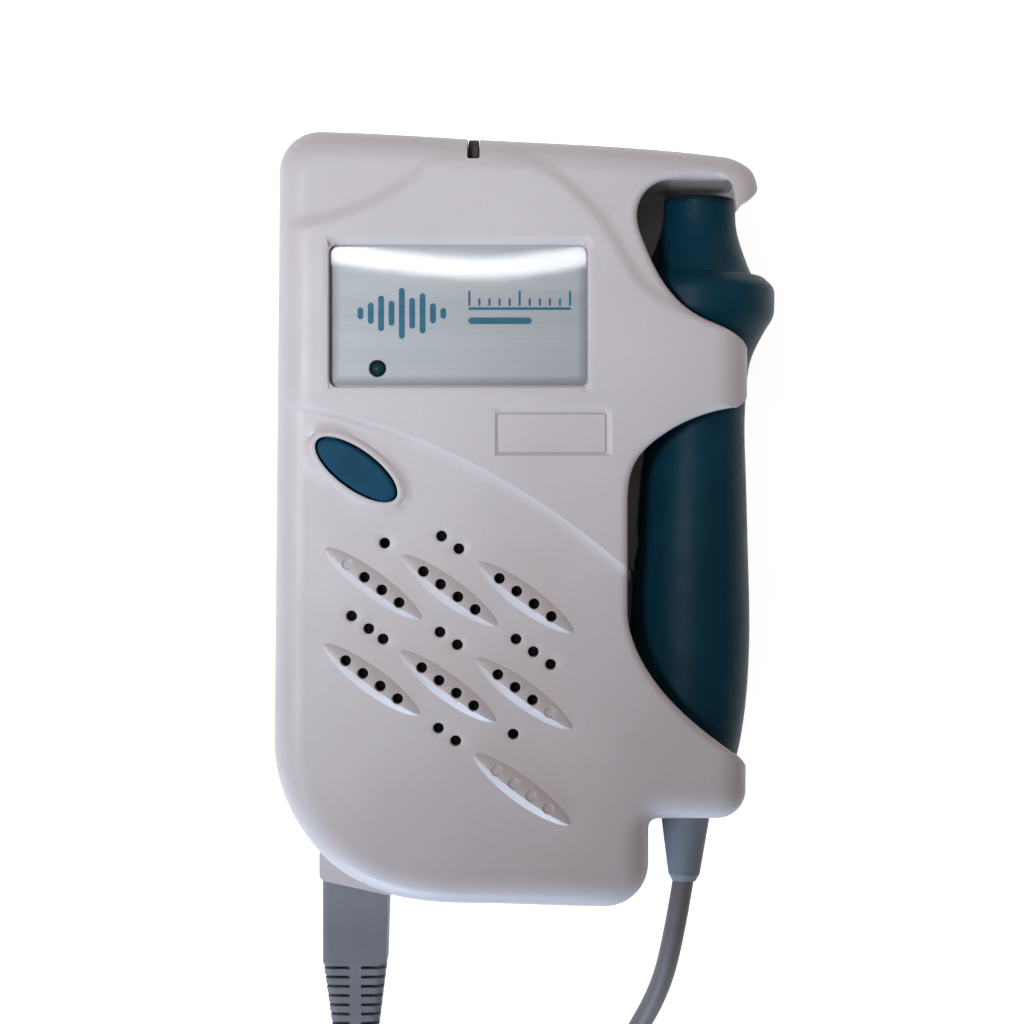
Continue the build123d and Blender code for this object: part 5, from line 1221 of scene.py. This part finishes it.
def motifInk():
    # teal screen-printing ink on the label: flat, a little mottled where it is thin
    tree, surface = newMaterial("motif_ink")
    thin = addNode(tree, "TexNoise", {"Vector": objectPlace(tree, (200, 900, 200)), "Scale": 1.0})
    tone = addNode(tree, "MapRange", {"Value": thin, "From Min": 0.35, "From Max": 0.65})
    colour = addNode(tree, "Mix", {"Factor": tone, "A": "#0a6784", "B": "#1a7894"}, data_type="RGBA")
    bump = addNode(tree, "Bump", {"Height": thin, "Distance": 0.004 * mm})
    feed(surface, {"Base Color": colour, "Roughness": 0.5, "Normal": bump})


def floorPaper():
    # seamless white paper: it keeps the shadow, and reads as white where the camera sees it directly
    tree, surface = newMaterial("floor_paper")
    pulp = addNode(tree, "TexNoise", {"Vector": objectPlace(tree, (40, 40, 40)), "Scale": 1.0})
    colour = addNode(tree, "Mix", {"Factor": pulp, "A": "#ececed", "B": "#f1f1f2"}, data_type="RGBA")
    ray = addNode(tree, "LightPath").outputs
    seen = addNode(tree, "Math", {0: ray["Is Camera Ray"], 1: ray["Is Glossy Ray"]}, operation="MAXIMUM")
    seen = addNode(tree, "Math", {0: seen, 1: ray["Is Transmission Ray"]}, operation="MAXIMUM")
    glow = addNode(tree, "Math", {0: seen, 1: stageSettings["floorGlow"]}, operation="MULTIPLY")
    feed(surface, {
        "Base Color": colour, "Emission Color": "#ffffff", "Emission Strength": glow, "Roughness": 0.95,
        "Specular IOR Level": 0.0,
    })


for name, s in plasticSettings.items():
    mouldedPlastic(name, s)
for name, s in metalSettings.items():
    metal(name, s)
for make in (jacketPvc, circuitBoard, printedSleeve, conePaper, grilleCloth, piezoCeramic, indicatorEpoxy,
             castAcrylic, silverLabel, motifInk, floorPaper):
    make()
nodeMaterials = {
    "case_abs": ["battery_door"],
    "probe_abs": ["probe_grip", "probe_collar", "probe_neck"],
    "plug_pvc": ["plug_body", "plug_boot"],
    "moulded_rubber": ["probe_relief"],
    "socket_nylon": ["probe_jack", "headphone_jack", "tact_switch", "switch_plunger", "volume_pot"],
    "chip_epoxy": ["board_chips"],
    "backing_epoxy": ["probe_backing"],
    "seal_silicone": ["probe_seal"],
    "face_epoxy_painted_shade": ["probe_face"],
    "gasket_foam": ["speaker_gasket"],
    "insert_polycarbonate": ["plug_insert", "plug_latch"],
    "spring_nickel": ["battery_springs", "battery_contacts"],
    "shield_tin": ["shield_can"],
    "screw_zinc": ["case_screws"],
    "gold_flash": ["jack_contacts"],
    "speaker_zinc": ["speaker_frame", "speaker_magnet"],
    "ground_steel": ["wheel_shaft"],
    "board_laminate": ["main_board", "probe_board"],
    "printed_sleeve": ["battery_cell_1", "battery_cell_2"],
    "cone_paper": ["speaker_cone"],
    "grille_cloth": ["speaker_cloth"],
    "piezo_ceramic": ["probe_crystals"],
    "indicator_epoxy": ["power_led"],
    "silver_label": ["window_label"],
}
for name, nodeNames in nodeMaterials.items():
    for nodeName in nodeNames:
        for slot in nodes[nodeName].material_slots:
            slot.material = materials[name]
for piece, name in ((frontCase, "case_abs"), (rearCase, "case_abs"), (glass, "cast_acrylic"), (motif, "motif_ink"),
                    (probeCord, "jacket_pvc"), (coiledCord, "jacket_pvc"), (buttonCap, "button_abs"),
                    (thumbWheel, "wheel_acetal")):
    piece.data.materials.append(materials[name])
print("materials", len(materials))


# Floor and light
floorMesh = bpy.data.meshes.new("floor")
floorMesh.from_pydata([(-3, -3, 0), (3, -3, 0), (3, 3, 0), (-3, 3, 0)], [], [(0, 1, 2, 3)])
floor = bpy.data.objects.new("floor", floorMesh)
floor.data.materials.append(materials["floor_paper"])
bpy.context.collection.objects.link(floor)

world = bpy.data.worlds.new("studio")
world.use_nodes = True
world.node_tree.nodes.clear()
sky = {"Color": stageSettings["sky"], "Strength": stageSettings["skyStrength"]}
addNode(world.node_tree, "OutputWorld", {"Surface": addNode(world.node_tree, "Background", sky)})
bpy.context.scene.world = world
for name, s in stageSettings["lights"].items():
    data = bpy.data.lights.new(name, s["kind"])
    data.color = linear(s["colour"])
    data.energy = s["power"]
    if s["kind"] == "AREA":
        data.shape = "RECTANGLE"
        data.size, data.size_y = s["size"]
    else:
        data.shadow_soft_size = s["size"][0]
        data.spot_size = np.radians(s["cone"])
        data.spot_blend = s["blend"]
    light = bpy.data.objects.new(name, data)
    light.location = s["place"]
    light.rotation_euler = (Vector(s["aim"]) - Vector(s["place"])).to_track_quat("-Z", "Y").to_euler()
    bpy.context.collection.objects.link(light)
bpy.context.scene.view_settings.view_transform = "Standard"
print("stage", len(stageSettings["lights"]), "lights")
